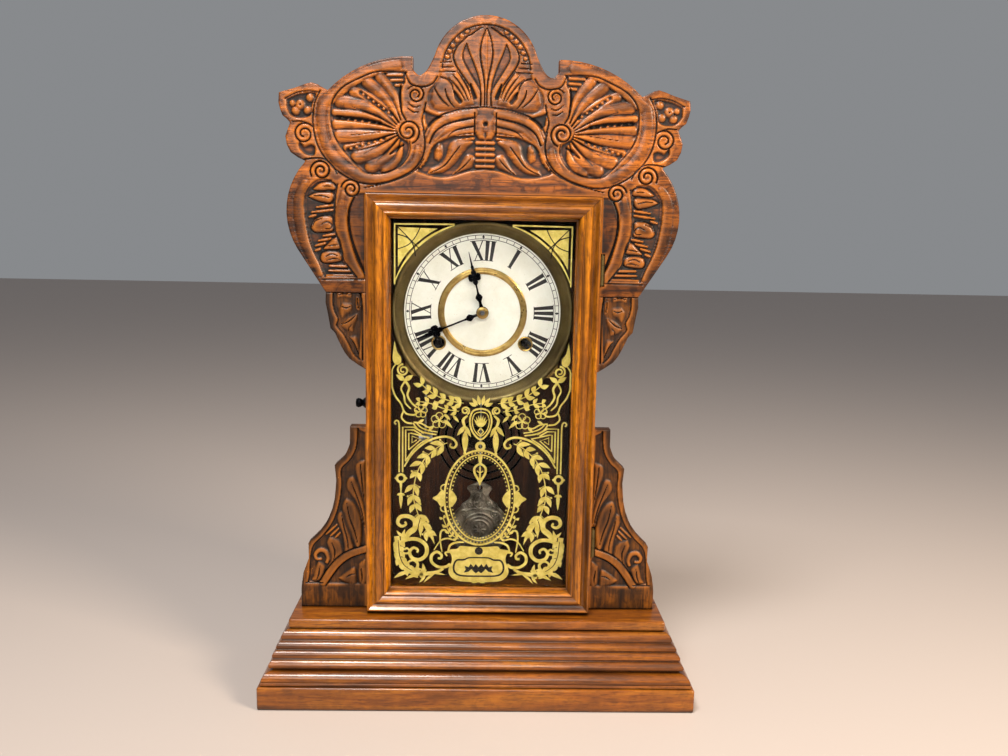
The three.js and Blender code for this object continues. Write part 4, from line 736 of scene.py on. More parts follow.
    # neck of the rim, arches over the spray, keystone and ladder
    groove(sheet, curve([(-38.6, 512), (-42, 507), (-48, 504.3), (-55, 504.4), (-60.5, 507), (-64, 514.5)], 18), 1.6)
    groove(sheet, curve([(-47.5, 492), (-48.7, 486), (-50.5, 478), (-48.5, 470)], 10), 1.6)
    groove(sheet, curve([(-48.5, 468), (-44, 476.5), (-36, 482.3), (-28, 485.2), (-18, 487.9), (0, 489.8)], 20), 1.7)
    groove(sheet, curve([(-44.5, 460.5), (-40.5, 469), (-33, 474.6), (-24, 478), (-8.5, 481.2)], 16), 1.7)
    groove(sheet, curve([(-31, 464.5), (-24, 471), (-8.5, 474.6)], 8), [0.4, 1.4, 1.6])
    rounded(sheet, curve([(-45.5, 463), (-40.5, 472.6), (-33, 478.6), (-24, 481.9), (-8.8, 485.2)], 20),
            [4.5, 6.2, 6.6, 7.2])
    rounded(sheet, curve([(-40, 463.4), (-32, 470.6), (-24, 474.4), (-8.8, 478.2)], 16), [2.4, 5.4, 6.0, 5.8], 0.35,
            0.5)
    key = p["keystone"]
    block = [(-key["half"], key["top"]), (-key["half"], key["foot"] + 4), (-5, key["foot"]), (0.4, key["foot"] - 0.6),
             (0.4, key["top"])]
    groove(sheet, [(-key["half"] - 0.6, key["top"] + 3), (-key["half"] - 0.6, key["foot"] + 4)], 1.4)
    pad(sheet, block, face + 0.35, soft=1.0)
    groove(sheet, [key["hole"], (key["hole"][0] + 0.01, key["hole"][1])], key["holeRadius"] * 2, 2.6)
    for z in (461.8, 457.2, 452.6, 448, 443.4):
        ridge(sheet, [(-6.6, z), (0.8, z)], 3.0, 1.1, crown=0.35)
    for z, a in ((468.3, -24), (465.2, -22)):
        ridge(sheet, [(a, z - 1.4), (-9.5, z)], [0.8, 2.2], 1.0)

    # leaf spray and the bar rope that follows the shell
    pad(sheet, curve([(-47, 436), (-34, 438), (-25, 444), (-19, 451.5), (-14, 457.5), (-9.5, 461.5), (-11, 464.2),
                      (-18, 465.5), (-25, 464), (-29.5, 459.5), (-31, 452), (-36, 445.5), (-44, 441.5)], 44), 1.5)
    groove(sheet, curve([(-44, 437.5), (-33, 443), (-25.5, 452), (-20, 459)], 14), [0.6, 1.7, 0.8])
    pad(sheet, curve([(-27, 436.3), (-19, 438.5), (-11, 441.5), (-7.6, 447), (-8.5, 451.5), (-14, 453), (-18, 448.5),
                      (-22, 442)], 26), 1.3)
    groove(sheet, curve([(-24, 437.5), (-17, 443), (-11, 449.5)], 8), [0.5, 1.5, 0.6])
    pad(sheet, curve([(-41, 448.5), (-40.8, 457), (-37, 461.5), (-33.6, 459), (-33.6, 451.5), (-36.5, 446.2)], 22), 1.3)
    knob(sheet, -37.4, 456, 2.2, 1.6)
    ladder(sheet, curve([(-61.5, 437), (-54.5, 441.5), (-49, 447.5), (-45.3, 455.5)], 10), 8, 3.6, 1.9, 1.0)
    groove(sheet, curve([(-97, 424.5), (-80, 428.5), (-66, 433.5), (-55, 440), (-49, 448)], 16), [0.5, 1.4, 1.4, 0.8])

    # shell: outer rim, hub volute, ribs and beaded channels
    groove(sheet, curve([(-131, 499.5), (-135.6, 490), (-137, 478), (-136, 466), (-132.5, 455), (-126.5, 446),
                         (-118, 437.5),
                         (-105, 430.2), (-92, 427.6), (-80, 429.3), (-68, 433.5), (-57, 440), (-50.3, 449), (-48, 460),
                         (-49.5, 471)], 54), 1.7)
    groove(sheet, shellLine[:49], 1.6)
    rounded(sheet, np.vstack([arcLine(-60.4, 436.7, 84.4, 96, 133, 14),
                              curve([(-128.6, 490), (-130, 480), (-129.2, 468), (-126, 457), (-119.5, 447.6),
                                     (-110, 439.8),
                                     (-98, 433.4), (-86, 432), (-74, 434.6), (-63, 439.6), (-56, 447), (-53.6, 456)],
                                    40)]),
            [8.6, 9.6, 9.6, 9.0, 7.8, 6.6])
    hubX, hubZ = p["hub"]
    for (tipX, tipZ), bow, width in p["ribs"]:
        tip = np.array([tipX, tipZ])
        out = (tip - p["hub"]) / np.hypot(*(tip - p["hub"]))
        side = np.array([-out[1], out[0]])
        root = np.array(p["hub"]) + out * (p["hubRadius"] + 0.5)
        tip = tip - out * width * 0.2
        middle = (root + tip) / 2 + side * bow * -1
        ridge(sheet, curve([root, middle, tip], 12), [1.6, width * 0.62, width * 0.95, width], 1.5, crown=0.6)
    for tipIndex in (3, 6, 8, 9):
        (tipX, tipZ), bow, width = p["ribs"][tipIndex]
        groove(sheet, curve([(hubX + (tipX - hubX) * 0.35, hubZ + (tipZ - hubZ) * 0.35 + 1),
                             (hubX + (tipX - hubX) * 0.82, hubZ + (tipZ - hubZ) * 0.82)], 6), [0.4, 1.3, 0.4], 0.8)
    for line in p["beads"]:
        beadRow(sheet, line, 6, 4.6, 3.4)
    groove(sheet, curve([(-76, 451.5), (-71, 455.5), (-65.5, 459)], 6), [1.5, 5, 2], 2.4)
    ridge(sheet, spiral(hubX, hubZ, p["hubRadius"] - 1.6, 1.0, -80, 1.6), [3.6, 3.2, 2.4], 1.9, 0.2)
    groove(sheet, spiral(hubX, hubZ, p["hubRadius"] + 0.4, 2.4, -70, 1.6), [1.2, 1.6, 1.3], 1.9)

    # small upright scroll beside the shell, and the bars above it
    groove(sheet, curve([(-67.3, 505), (-68, 494), (-66.5, 484), (-63.5, 478.5)], 12), 1.7)
    curlX, curlZ = p["curl"]
    ridge(sheet, spiral(curlX, curlZ, 5.6, 1.2, 100, -1.5), [3.4, 3.0, 2.4], 1.8, 0.2)
    groove(sheet, spiral(curlX, curlZ, 7.4, 2.2, 150, -1.55), [0.8, 1.6, 1.3], 1.8)
    for line in ([(-62, 492), (-57, 488.4), (-51.5, 489.5)], [(-61.5, 487.3), (-57, 484.4), (-52.5, 485)]):
        groove(sheet, curve(line, 8), [0.5, 1.4, 0.5])
    for z, a in ((512.6, -78), (508.6, -75), (504.8, -71.5)):
        ridge(sheet, [(a, z), (-66.5, z + 0.4)], 2.7, 1.1)

    # corner: curled rim, rosette, scroll
    groove(sheet, curve([(-158.8, 493), (-150, 497.4), (-140, 499.2), (-132, 498)], 14), 1.5)
    for x, z, r in ((-147, 488.5, 4.2), (-141, 484.2, 3.6), (-150.6, 483.6, 3.6), (-153, 489.5, 2.6), (-139, 494, 3.4)):
        knob(sheet, x, z, r, 1.3)
    knob(sheet, -146.8, 488.6, 1.5, 0.1, -1.2)
    groove(sheet, [(-147, 488.5), (-146.99, 488.5)], 2.4, 1.4)
    scrollX, scrollZ = p["cornerScroll"]
    ridge(sheet, spiral(scrollX, scrollZ, 6.6, 1.0, 60, 1.5), [4.2, 3.4, 2.4], 1.6, 0.2)
    groove(sheet, spiral(scrollX, scrollZ, 8.8, 2.2, 40, 1.6), [1.5, 1.6, 1.3], 1.8)
    groove(sheet, curve([(-153.5, 475.5), (-146, 475.6), (-138.5, 473)], 8), [0.5, 1.6, 1.4])
    groove(sheet, curve([(-146, 445.8), (-137, 447.2), (-129, 446.8), (-122, 442), (-118.5, 435.5)], 14), 1.6)

    # ear: two curls, a broad rim, an S stem, and puffed leaves with bars between them
    for (x, z, r), start in zip(p["bosses"], (200, 160)):
        ridge(sheet, spiral(x, z, r, 1.0, start, -1.5), [4.4, 3.6, 2.6], 2.0, 0.3)
        groove(sheet, spiral(x, z, r + 2.6, 2.4, start + 10, -1.6), [1.4, 1.8, 1.5], 2.0)
    groove(sheet, earOuter, 1.8)
    groove(sheet, earInner, 1.8)
    rounded(sheet, curve([(-143.5, 428), (-148, 421), (-149.6, 411), (-149, 400), (-147.4, 389), (-143.6, 377),
                          (-138.4, 366), (-133, 356)], 30), [6, 9, 9.6, 9.4, 8.4, 7], 0.4, 0.6)
    rounded(sheet, curve([(-113.4, 420), (-115, 409), (-115, 398), (-113.4, 386), (-110, 374), (-106, 364),
                          (-100, 354)], 24),
            [5, 9.4, 10, 9.4, 8, 7], 0.45, 0.5)
    stem = curve([(-104.4, 418.5), (-108.4, 409), (-109.4, 400), (-108.6, 390), (-106, 380), (-102.2, 370),
                  (-98.2, 360),
                  (-95, 352)], 24)
    groove(sheet, stem, [1.2, 2.4, 2.2, 1.4], 1.8)
    for outline, veins in earLeaves:
        edge = curve([*outline, outline[0]], 4 * len(outline))
        groove(sheet, edge, 1.1, 0.8)
        pad(sheet, edge, 1.7, soft=1.5)
        for vein in veins:
            groove(sheet, curve(vein, 10), [0.5, 1.6, 0.6], 1.2)
    for bars, width in earBars:
        for foot, head in bars:
            ridge(sheet, [foot, head], [width * 0.6, width, width * 0.8], 1.25)
    groove(sheet, [(-131, 350.8), (-96, 351.6)], 1.4, 1.0)

    # the right half mirrors the left
    for layer in ("raised", "cut"):
        left = sheet[layer][:, : (len(sheet["x"]) + 1) // 2]
        sheet[layer][:, len(sheet["x"]) // 2:] = left[:, ::-1]
    plainBehindDoor(sheet)
    return sheet


# room left round a hinge leaf in its pocket, and behind it
pocketPlan = {"beside": 0.4, "around": 0.3}
# how far past the door the boards stay plain, sideways and upwards
plainMargin = (1.2, 1.0)


# hinge leaves are let into the right-hand boards
def hingePocket(sheet, leaf, flip):
    low, high = lowHigh(leaf)
    x, z = np.meshgrid(sheet["x"], sheet["z"])
    beside, around = pocketPlan["beside"], pocketPlan["around"]
    ends = (-high[0] - beside, -low[0] + beside) if flip else (low[0] - beside, high[0] + beside)
    there = (x > ends[0]) & (x < ends[1]) & (z > low[2] - around) & (z < high[2] + around)
    sheet["raised"] = np.where(there, boardFace - high[1] - around, sheet["raised"])
    sheet["cut"] = np.where(there, 0.0, sheet["cut"])


# plain where the door, its hinges and its shadow lie
def plainBehindDoor(sheet):
    x, z = np.meshgrid(sheet["x"], sheet["z"])
    shaded = (np.abs(x) < doorHalf + plainMargin[0]) & (z < doorHigh[2] + plainMargin[1])
    sheet["raised"] = np.where(shaded, np.minimum(sheet["raised"], 0.0), sheet["raised"])


def leafPad(sheet, outline, height, vein, veinWidth=1.5):
    pad(sheet, curve(outline, 4 * len(outline)), height)
    groove(sheet, curve(vein, 12), [0.4, veinWidth, 0.5])


# Wings: most points of leaves and veins, here and in lowerWingFlames, were read by eye on enlarged
# crops of the photograph and scaled to millimetres by a scratch program; some were then moved by hand.
def upperWingSheet():
    low, high = lowHigh("wing_upper_left")
    sheet = newSheet((low[0] - 2, low[2] - 2), (high[0] + 2, high[2] + 2), carving["face"])
    rim = curve([(-122, 342), (-122.5, 333), (-121.2, 325), (-118.3, 318.5), (-119.5, 313), (-114, 306), (-109.5, 298),
                 (-105.5, 290), (-101, 285.5)], 34)
    sink(sheet, np.vstack([rim, [(-98.4, 318)], [(-98.4, 342)]]), 0.2)
    groove(sheet, rim, 1.6)
    groove(sheet, curve([(-98.6, 285), (-98.4, 315), (-98.6, 330), (-100.5, 342)], 16), 1.5)
    leaves = [
        ([(-115.4, 333), (-107.4, 332.2), (-105.9, 327.7), (-107.4, 324.2), (-110.8, 321.7), (-115.4, 318.2),
          (-118.4, 322.7), (-118.7, 328.2)], [(-115.7, 329), (-111.7, 327.7), (-108.3, 329)]),
        ([(-117.6, 313.4), (-113, 319.2), (-108.3, 322.2), (-102.2, 324.2), (-101.9, 318.7), (-103.9, 313.1),
          (-105.6, 307.6), (-109.1, 307.4), (-113.5, 309)], [(-115.9, 314.2), (-110, 316.6), (-103.9, 321.9)]),
        ([(-112.6, 306), (-108.3, 305.2), (-103.9, 306), (-100.9, 300.4), (-100.4, 287), (-104.2, 292.3),
          (-108.3, 298.9)], [(-110, 304), (-105.7, 298.9), (-101.9, 290)]),
        ([(-104.6, 338.3), (-100.6, 336.4), (-99.6, 329), (-100.3, 324.8), (-104.2, 326.2), (-105.2, 331.4)],
         [(-102.6, 336), (-102.4, 331), (-101.8, 327)]),
        ([(-120.8, 341), (-114, 342.6), (-106.6, 342), (-107, 335.2), (-114, 335.6), (-119.8, 334.2)],
         [(-118.6, 338), (-113, 339.4), (-108.4, 338.2)]),
    ]
    for outline, vein in leaves:
        leafPad(sheet, outline, 1.5, vein, 1.3)
    groove(sheet, curve([(-109.8, 309), (-109.4, 311.9), (-106.6, 314.7)], 8), [0.4, 1.2, 0.4], 0.9)
    return sheet


# flames that rise from an arch in the foot, cut apart by V grooves, with a fan under the arch
lowerWingFlames = [
    ([(-96.4, 200.2), (-100.8, 199.3), (-104.6, 196.1), (-105.3, 190.7), (-103.7, 182.9), (-101.3, 173.8),
      (-98.5, 164.8), (-96.4, 155.8)], [(-100.8, 196.4), (-99.8, 182.9), (-97.8, 166.3)]),
    ([(-107.6, 185.9), (-111, 184.4), (-113, 179.6), (-112.4, 174.6), (-109.1, 169.3), (-104.9, 163.3), (-101.6, 154.3),
      (-99.2, 143.8), (-97.6, 134.7), (-96.4, 127.2), (-96.4, 149.8), (-98.2, 163.3), (-101.3, 175.3), (-104.9, 183.6)],
     [(-109.1, 182.1), (-104.9, 170.8), (-100.1, 155.8), (-97.6, 140.7)]),
    ([(-113, 166.6), (-115.7, 163.3), (-116.9, 156.5), (-115.1, 148.3), (-111.3, 138.5), (-107.6, 128.7),
      (-104.3, 121.5),
      (-101.6, 122.4), (-100.1, 131.7), (-99.5, 140.7), (-100.7, 149.8), (-103.4, 158), (-107.9, 164.1)],
     [(-112.4, 162.6), (-110.3, 149.8), (-106.1, 137.7), (-103.7, 127.2)]),
    ([(-116.9, 155.8), (-120.2, 153.5), (-121.1, 148.3), (-119.3, 141.5), (-116.9, 134.7), (-115.7, 125.7),
      (-115.1, 116.7),
      (-109.1, 120.4), (-107, 123.4), (-109.1, 133.2), (-111.8, 142.3), (-114.2, 151.3)],
     [(-116.9, 151.3), (-115.1, 140.7), (-112.4, 130.2), (-111.5, 121.4)]),
    ([(-127.9, 132.5), (-130.1, 127.2), (-128.3, 120.4), (-127.4, 112.2), (-130.1, 104.1), (-128.6, 102.1),
      (-122.6, 109.4), (-116, 115.9), (-116.3, 122.7), (-118.4, 128), (-121.9, 131.1)],
     [(-125.6, 127.2), (-123.2, 119.7), (-124.1, 111.7)]),
    ([(-137.7, 110.7), (-135, 109.9), (-131.6, 106.2), (-132.6, 100.1), (-135, 93.2), (-143.2, 93), (-141.3, 98.6),
      (-139.5, 106.2)], [(-135.9, 106.2), (-137.1, 98.6), (-138.9, 94)]),
    ([(-120.8, 95.5), (-115.1, 100.4), (-107.9, 105.2), (-105.2, 103.7), (-104.5, 95.6), (-104.9, 89.4), (-109.7, 89),
      (-115.1, 91.1)], [(-114, 96), (-109.6, 98.6), (-106.4, 99)]),
    ([(-103.1, 108.4), (-96.4, 112.2), (-96.4, 89.9), (-101.9, 89.4), (-103.4, 97.1)],
     [(-101, 105), (-100, 98), (-99.8, 92)]),
]


def lowerWingSheet():
    low, high = lowHigh("wing_lower_left")
    sheet = newSheet((low[0] - 2, low[2] - 2), (high[0] + 2, high[2] + 2), carving["face"])
    rim = curve([(-102.6, 227), (-103.2, 216), (-105, 207.5), (-109.6, 199.6), (-115.6, 193.6), (-117, 189),
                 (-116.6, 180),
                 (-117.3, 170), (-119.4, 159.5), (-122.3, 150), (-127, 141), (-133.6, 132.5), (-141, 124.6),
                 (-143.6, 115), (-144.6, 100), (-146, 92)], 60)
    sink(sheet, np.vstack([rim, [(-133, 90)], [(-96, 90)], [(-96, 224)]]), 0.1)
    groove(sheet, rim, 1.7)
    groove(sheet, [(-148, 91.2), (-133.6, 91.2)], 1.4)
    for outline, vein in lowerWingFlames:
        edge = curve([*outline, outline[0]], 5 * len(outline))
        pad(sheet, edge, 1.6, 0.3, 1.3)
        groove(sheet, curve(vein, 16), [0.4, 1.7, 0.6], 1.2)
    hook = curve([(-130, 109.6), (-128.8, 114), (-131.2, 119.2), (-136, 120.2), (-139.6, 116.6), (-138.6, 112.6),
                  (-135, 112.4)], 30)
    ridge(sheet, hook, [3.0, 4.2, 4.6, 3.4, 2.2], 1.6, 0.3)
    for foot, head in (((-130.1, 134.6), (-121.4, 142.8)), ((-126.6, 133), (-119.8, 139.6)),
                       ((-122.6, 131.6), (-118.4, 136))):
        ridge(sheet, [foot, head], [1.6, 2.2, 1.6], 1.3, 0.1)
    arch = [(-133.5, 91), (-127.5, 100.5), (-120, 110), (-110, 117), (-96, 121.8)]
    rounded(sheet, curve(arch, 24), 6.4, 0.5, 0.5)
    for shift in (-3.4, 3.4):
        groove(sheet, curve([(x - 0.7 * shift, z + 0.8 * shift) for x, z in arch], 24), 1.3, 1.3)
    return sheet


hingeLeaves = {"crest_board": "hinge_upper_case_leaf", "wing_lower_right": "hinge_lower_case_leaf"}


def makeCarving():
    crest = crestSheet()
    hingePocket(crest, hingeLeaves["crest_board"], False)
    carvedBoard("carvedCrest", "crest_board", crest, "case", oaks["crest"])
    for level, sheetOf in (("upper", upperWingSheet), ("lower", lowerWingSheet)):
        for side, flip in (("left", False), ("right", True)):
            node = "wing_%s_%s" % (level, side)
            sheet = sheetOf()
            plainBehindDoor(sheet)
            if node in hingeLeaves:
                hingePocket(sheet, hingeLeaves[node], flip)
            carvedBoard("carvedWing_%s_%s" % (level, side), node, sheet, "case", oaks["wing"], flip)


makeCarving()


# Door: four mitred members of one moulding. The profile runs from the outer edge inwards and
# gives the distance back from the door's front.
doorProfile = {
    "lines": [(0.0, 16.9), (0.0, 2.2), (0.3, 1.2), (1.0, 0.7), (1.8, 0.8), (2.5, 1.4), (3.5, 2.6), (4.8, 3.5),
              (6.2, 3.8), (7.0, 3.3), (7.5, 1.9), (8.1, 0.7), (9.1, 0.1), (10.0, 0.0), (11.2, 0.5), (12.4, 1.5),
              (13.3, 2.3), (13.9, 2.4), (14.3, 1.8), (15.0, 1.4), (15.8, 1.7), (16.8, 3.0), (17.6, 4.9), (18.2, 6.8),
              (18.6, 7.8), (19.2, 7.9), (19.6, 8.4), (19.6, 11.0), (15.6, 11.0), (15.6, 16.9)],
    "joint": 0.06,
}


def doorMember(name, node, upright, sign, material):
    front = doorLow[1]
    ends = doorLow[2], doorHigh[2]
    sections = []
    for end in (0, 1):
        section = []
        for inset, depth in doorProfile["lines"]:
            along = inset + doorProfile["joint"]
            if upright:
                x = sign * (doorHalf - inset)
                z = ends[0] + along if end == 0 else ends[1] - along
            else:
                x = (-1 if end == 0 else 1) * (doorHalf - along)
                z = ends[1] - inset if sign > 0 else ends[0] + inset
            section.append((x, front + depth, z))
        sections.append(section)
    points, faces = skin(sections)
    newPiece(name, points, faces, "door", material, (node,), angle=32)


def makeDoor():
    doorMember("doorStile_left", "door_stile_left", True, -1, oaks["doorUpright"])
    doorMember("doorStile_right", "door_stile_right", True, 1, oaks["doorUpright"])
    doorMember("doorRail_bottom", "door_rail_bottom", False, -1, oaks["doorAcross"])
    doorMember("doorRail_top", "door_rail_top", False, 1, oaks["doorAcross"])
    print("door made")


makeDoor()


# Base: plinth, reeded moulding on three sides with mitred corners, and the top board.
# The moulding's profile gives the distance out from under the top board and the height.
baseProfile = [
    (-16.0, 0.0), (19.5, 0.0), (19.9, 0.4), (19.9, 2.0), (19.5, 2.5), (18.9, 2.7), (19.3, 3.6), (19.2, 5.2),
    (18.2, 7.2),
    (16.2, 8.9), (13.6, 9.9), (11.9, 10.2), (11.0, 10.8), (11.1, 11.7), (12.2, 12.1), (13.4, 12.8), (14.1, 14.1),
    (14.1, 15.7), (13.1, 17.4), (11.4, 18.6), (10.3, 19.0), (10.0, 19.5), (10.8, 20.0), (11.5, 21.2), (11.5, 22.8),
    (10.5, 24.6), (8.7, 25.8), (7.6, 26.1), (7.3, 26.6), (8.1, 27.0), (8.7, 28.2), (8.5, 29.8), (7.3, 31.4),
    (5.4, 32.5),
    (4.3, 32.8), (4.0, 33.3), (4.7, 33.8), (5.2, 35.2), (5.0, 37.0), (3.8, 39.0), (1.8, 40.4), (0.0, 41.0),
    (-16.0, 41.0),
]
mitreGap = 0.15


def mouldingRun(name, node, place, material):
    low, high = lowHigh(node)
    tall = (high[2] - low[2]) / baseProfile[-1][1]
    sections = [[(*place(end, out), low[2] + up * tall) for out, up in baseProfile] for end in (0, 1)]
    points, faces = skin(sections)
    newPiece(name, points, faces, "case", material, (node,), angle=30)


def makeBase():
    low, high = lowHigh("base_top_board")
    half, front, back = high[0], low[1], high[1]
    mouldingRun("baseMoulding_front", "base_moulding_front",
                lambda end, out: ((half + out - mitreGap) * (2 * end - 1), front - out), oaks["base"])
    for side, sign in (("left", -1), ("right", 1)):
        mouldingRun("baseMoulding_" + side, "base_moulding_" + side,
                    lambda end, out: (sign * (half + out), back if end else front - out + 2 * mitreGap),
                    oaks["baseReturn"])
    for name, node, ease in (("plinth", "base_plinth", 2.0), ("baseTop", "base_top_board", 2.4)):
        points, faces = easedBox(*lowHigh(node), ease, 4)
        newPiece(name, points, faces, "case", oaks["base"], (node,), angle=40)
    print("base made")


makeBase()


# Case: plain boards with rubbed edges; the sides stay as in the CAD, for their hinge pockets.
def makeCase():
    for name, node, look in (("caseTop", "case_top_board", "caseTop"), ("caseBack", "case_back_board", "case")):
        points, faces = easedBox(*lowHigh(node), 1.0, 3)
        newPiece(name, points, faces, "case", oaks[look], (node,), angle=40)


makeCase()


# Metals, glass and paint. Each takes its colour, its roughness and what wears it: clouds are
# patches of tarnish or handling, and grain is the fine marks of drawing, pressing or casting.
metalLooks = {
    "brass, lacquered": {"fresh": "#bfa362", "dull": "#84693a", "rough": (0.24, 0.42), "clouds": 14, "grain": 0.5},
    "brass wheel on a steel arbor": {"fresh": "#d2ab5c", "dull": "#94702f", "rough": (0.24, 0.42), "clouds": 14,
                                     "grain": 0.5, "steelBefore": 14},
    "brass, aged": {"fresh": "#7f7049", "dull": "#5c5034", "rough": (0.34, 0.46), "clouds": 40, "grain": 0.7},
    "steel, polished": {"fresh": "#9b9ca0", "dull": "#5d5e62", "rough": (0.22, 0.44), "clouds": 12, "grain": 0.4},
    "steel, blued black": {"fresh": "#17181d", "dull": "#0a0a0c", "rough": (0.26, 0.44), "clouds": 8, "grain": 0.3},
    "pot metal, nickelled": {"fresh": "#8b8577", "dull": "#46423a", "rough": (0.3, 0.5), "clouds": 11, "grain": 0.6},
    "iron, japanned": {"fresh": "#2a2725", "dull": "#151312", "rough": (0.45, 0.7), "clouds": 7, "grain": 1.4},
}


def metal(name, look):
    material, tree, shader = newMaterial(name)
    position = addNode(tree, "ShaderNodeTexCoord").outputs["Object"]
    clouds = addNode(tree, "ShaderNodeTexNoise", {
        "Vector": position, "Scale": 1 / (look["clouds"] * mm), "Detail": 4.0, "Roughness": 0.6}).outputs["Fac"]
    grain = addNode(tree, "ShaderNodeTexNoise", {
        "Vector": position, "Scale": 1 / (look["grain"] * mm), "Detail": 2.0}).outputs["Fac"]
    low, high = look["rough"]
    colour = ramp(tree, clouds, [(0.34, look["dull"]), (0.62, look["fresh"])])
    if look.get("steelBefore"):  # the wheel is brass, but its arbor's winding square is dark steel
        depth = addNode(tree, "ShaderNodeSeparateXYZ", {"Vector": position}).outputs["Y"]
        square = addNode(tree, "ShaderNodeMath", {0: depth, 1: look["steelBefore"] * mm},
                         operation="LESS_THAN").outputs[0]
        colour = mixed(tree, square, colour, linear("#2a2827"))
    tree.links.new(colour, shader.inputs["Base Color"])
    tree.links.new(ramp(tree, clouds, [(0.35, high), (0.65, low)]), shader.inputs["Roughness"])
    bump = addNode(tree, "ShaderNodeBump", {"Height": grain, "Strength": 0.18, "Distance": 0.05 * mm})
    tree.links.new(bump.outputs[0], shader.inputs["Normal"])
    shader.inputs["Metallic"].default_value = 1.0
    return material


# Old window glass, slightly wavy. Its index of refraction is low, as both faces of a thin pane are
# shown; wave and depth are the breadth and the height of its waves.
paneLook = {"wave": 55, "depth": 0.4, "strength": 0.12, "rough": 0.03, "refraction": 1.12}


def paneGlass():
    material, tree, shader = newMaterial("window glass, old and slightly wavy")
    position = addNode(tree, "ShaderNodeTexCoord").outputs["Object"]
    waves = addNode(tree, "ShaderNodeTexNoise", {"Vector": position, "Scale": 1 / (paneLook["wave"] * mm),
                                                 "Detail": 1.0}).outputs["Fac"]
    bump = addNode(tree, "ShaderNodeBump", {
        "Height": waves, "Strength": paneLook["strength"], "Distance": paneLook["depth"] * mm})
    tree.links.new(bump.outputs[0], shader.inputs["Normal"])
    shader.inputs["Base Color"].default_value = (1, 1, 1, 1)
    shader.inputs["Roughness"].default_value = paneLook["rough"]
    shader.inputs["IOR"].default_value = paneLook["refraction"]
    shader.inputs["Transmission Weight"].default_value = 1.0
    return material


# A flat paint or print with faint unevenness; speck is the colour of its rubbed or foxed spots,
# and size the breadth of its patches.
paintLooks = {
    "dial enamel, ivory white": {"even": "#eff2e9", "patch": "#e7e9dd", "speck": "#a89f82", "rough": 0.38, "size": 18},
    "dial print, black": {"even": "#0d0c0c", "patch": "#1b1917", "speck": "#3a3630", "rough": 0.5, "size": 6},
    "gilt stencil": {"even": "#e0cf72", "patch": "#c9b452", "speck": "#8b7633", "rough": 0.42, "size": 7},
    "stencil ground, dark brown": {"even": "#120a05", "patch": "#1c1008", "speck": "#050302", "rough": 0.8, "size": 12},
}


def paint(name, look, metallic=0.0):
    material, tree, shader = newMaterial(name)
    position = addNode(tree, "ShaderNodeTexCoord").outputs["Object"]
    patches = addNode(tree, "ShaderNodeTexNoise", {
        "Vector": position, "Scale": 1 / (look["size"] * mm), "Detail": 5.0, "Roughness": 0.65}).outputs["Fac"]
    specks = addNode(tree, "ShaderNodeTexNoise", {
        "Vector": position, "Scale": 1 / (1.1 * mm), "Detail": 2.0}).outputs["Fac"]
    colour = ramp(tree, patches, [(0.4, look["patch"]), (0.6, look["even"])])
    few = ramp(tree, specks, [(0.25, 1.0), (0.31, 0.0)])
    colour = mixed(tree, few, colour, linear(look["speck"]))
    tree.links.new(colour, shader.inputs["Base Color"])
    shader.inputs["Roughness"].default_value = look["rough"]
    shader.inputs["Metallic"].default_value = metallic
    return material


metals = {name: metal(name, look) for name, look in metalLooks.items()}
dialWhite = paint("dial enamel, ivory white", paintLooks["dial enamel, ivory white"])
dialBlack = paint("dial print, black", paintLooks["dial print, black"])
gilt = paint("gilt stencil", paintLooks["gilt stencil"], 0.35)
clearGlass = paneGlass()
print("metals, glass and paints made")


# A flat figure given thickness between two planes; the line runs round it in x and z.
def plateShape(line, front, back):
    line = [(p[0], p[1]) for p in line]
    count = len(line)
    points = [(x, front, z) for x, z in line] + [(x, back, z) for x, z in line]
    flat = [[Vector((x, z, 0)) for x, z in line]]
    faces = [tuple(t) for t in tessellate_polygon(flat)]
    faces += [tuple(count + i for i in reversed(t)) for t in faces]
    faces += [(i, (i + 1) % count, count + (i + 1) % count, count + i) for i in range(count)]
    return points, faces


# A flat plate between two planes, with holes: the first ring is its edge.
def piercedPlate(rings, front, back):
    flat = [[Vector((x, z, 0)) for x, z in ring] for ring in rings]
    ordered = [p for ring in rings for p in ring]
    count = len(ordered)
    points = [(x, front, z) for x, z in ordered] + [(x, back, z) for x, z in ordered]
    faces = [tuple(t) for t in tessellate_polygon(flat)]
    faces += [tuple(count + i for i in reversed(t)) for t in faces]
    start = 0
    for ring in rings:
        n = len(ring)
        faces += [(start + i, start + (i + 1) % n, count + start + (i + 1) % n, count + start + i) for i in range(n)]
        start += n
    return points, faces


# A painted stroke: a thin strip along a line, as wide at each point as the widths say.
def stroke(line, widths, front, back):
    line = np.array(line, float)
    width = widthAt(widths, np.linspace(0, 1, len(line)))
    run = np.gradient(line, axis=0)
    run /= np.maximum(np.hypot(run[:, 0], run[:, 1]), 1e-9)[:, None]
    side = np.stack([-run[:, 1], run[:, 0]], 1) * width[:, None]
    sections = []
    for p, s in zip(line, side):
        a, b = p - s, p + s
        sections.append([(a[0], front, a[1]), (b[0], front, b[1]), (b[0], back, b[1]), (a[0], back, a[1])])
    return skin(sections)


def ringShape(x, z, inner, outer, front, back, sides=96):
    return turnedShape(x, z, [(inner, front), (outer, front), (outer, back), (inner, back)], sides)


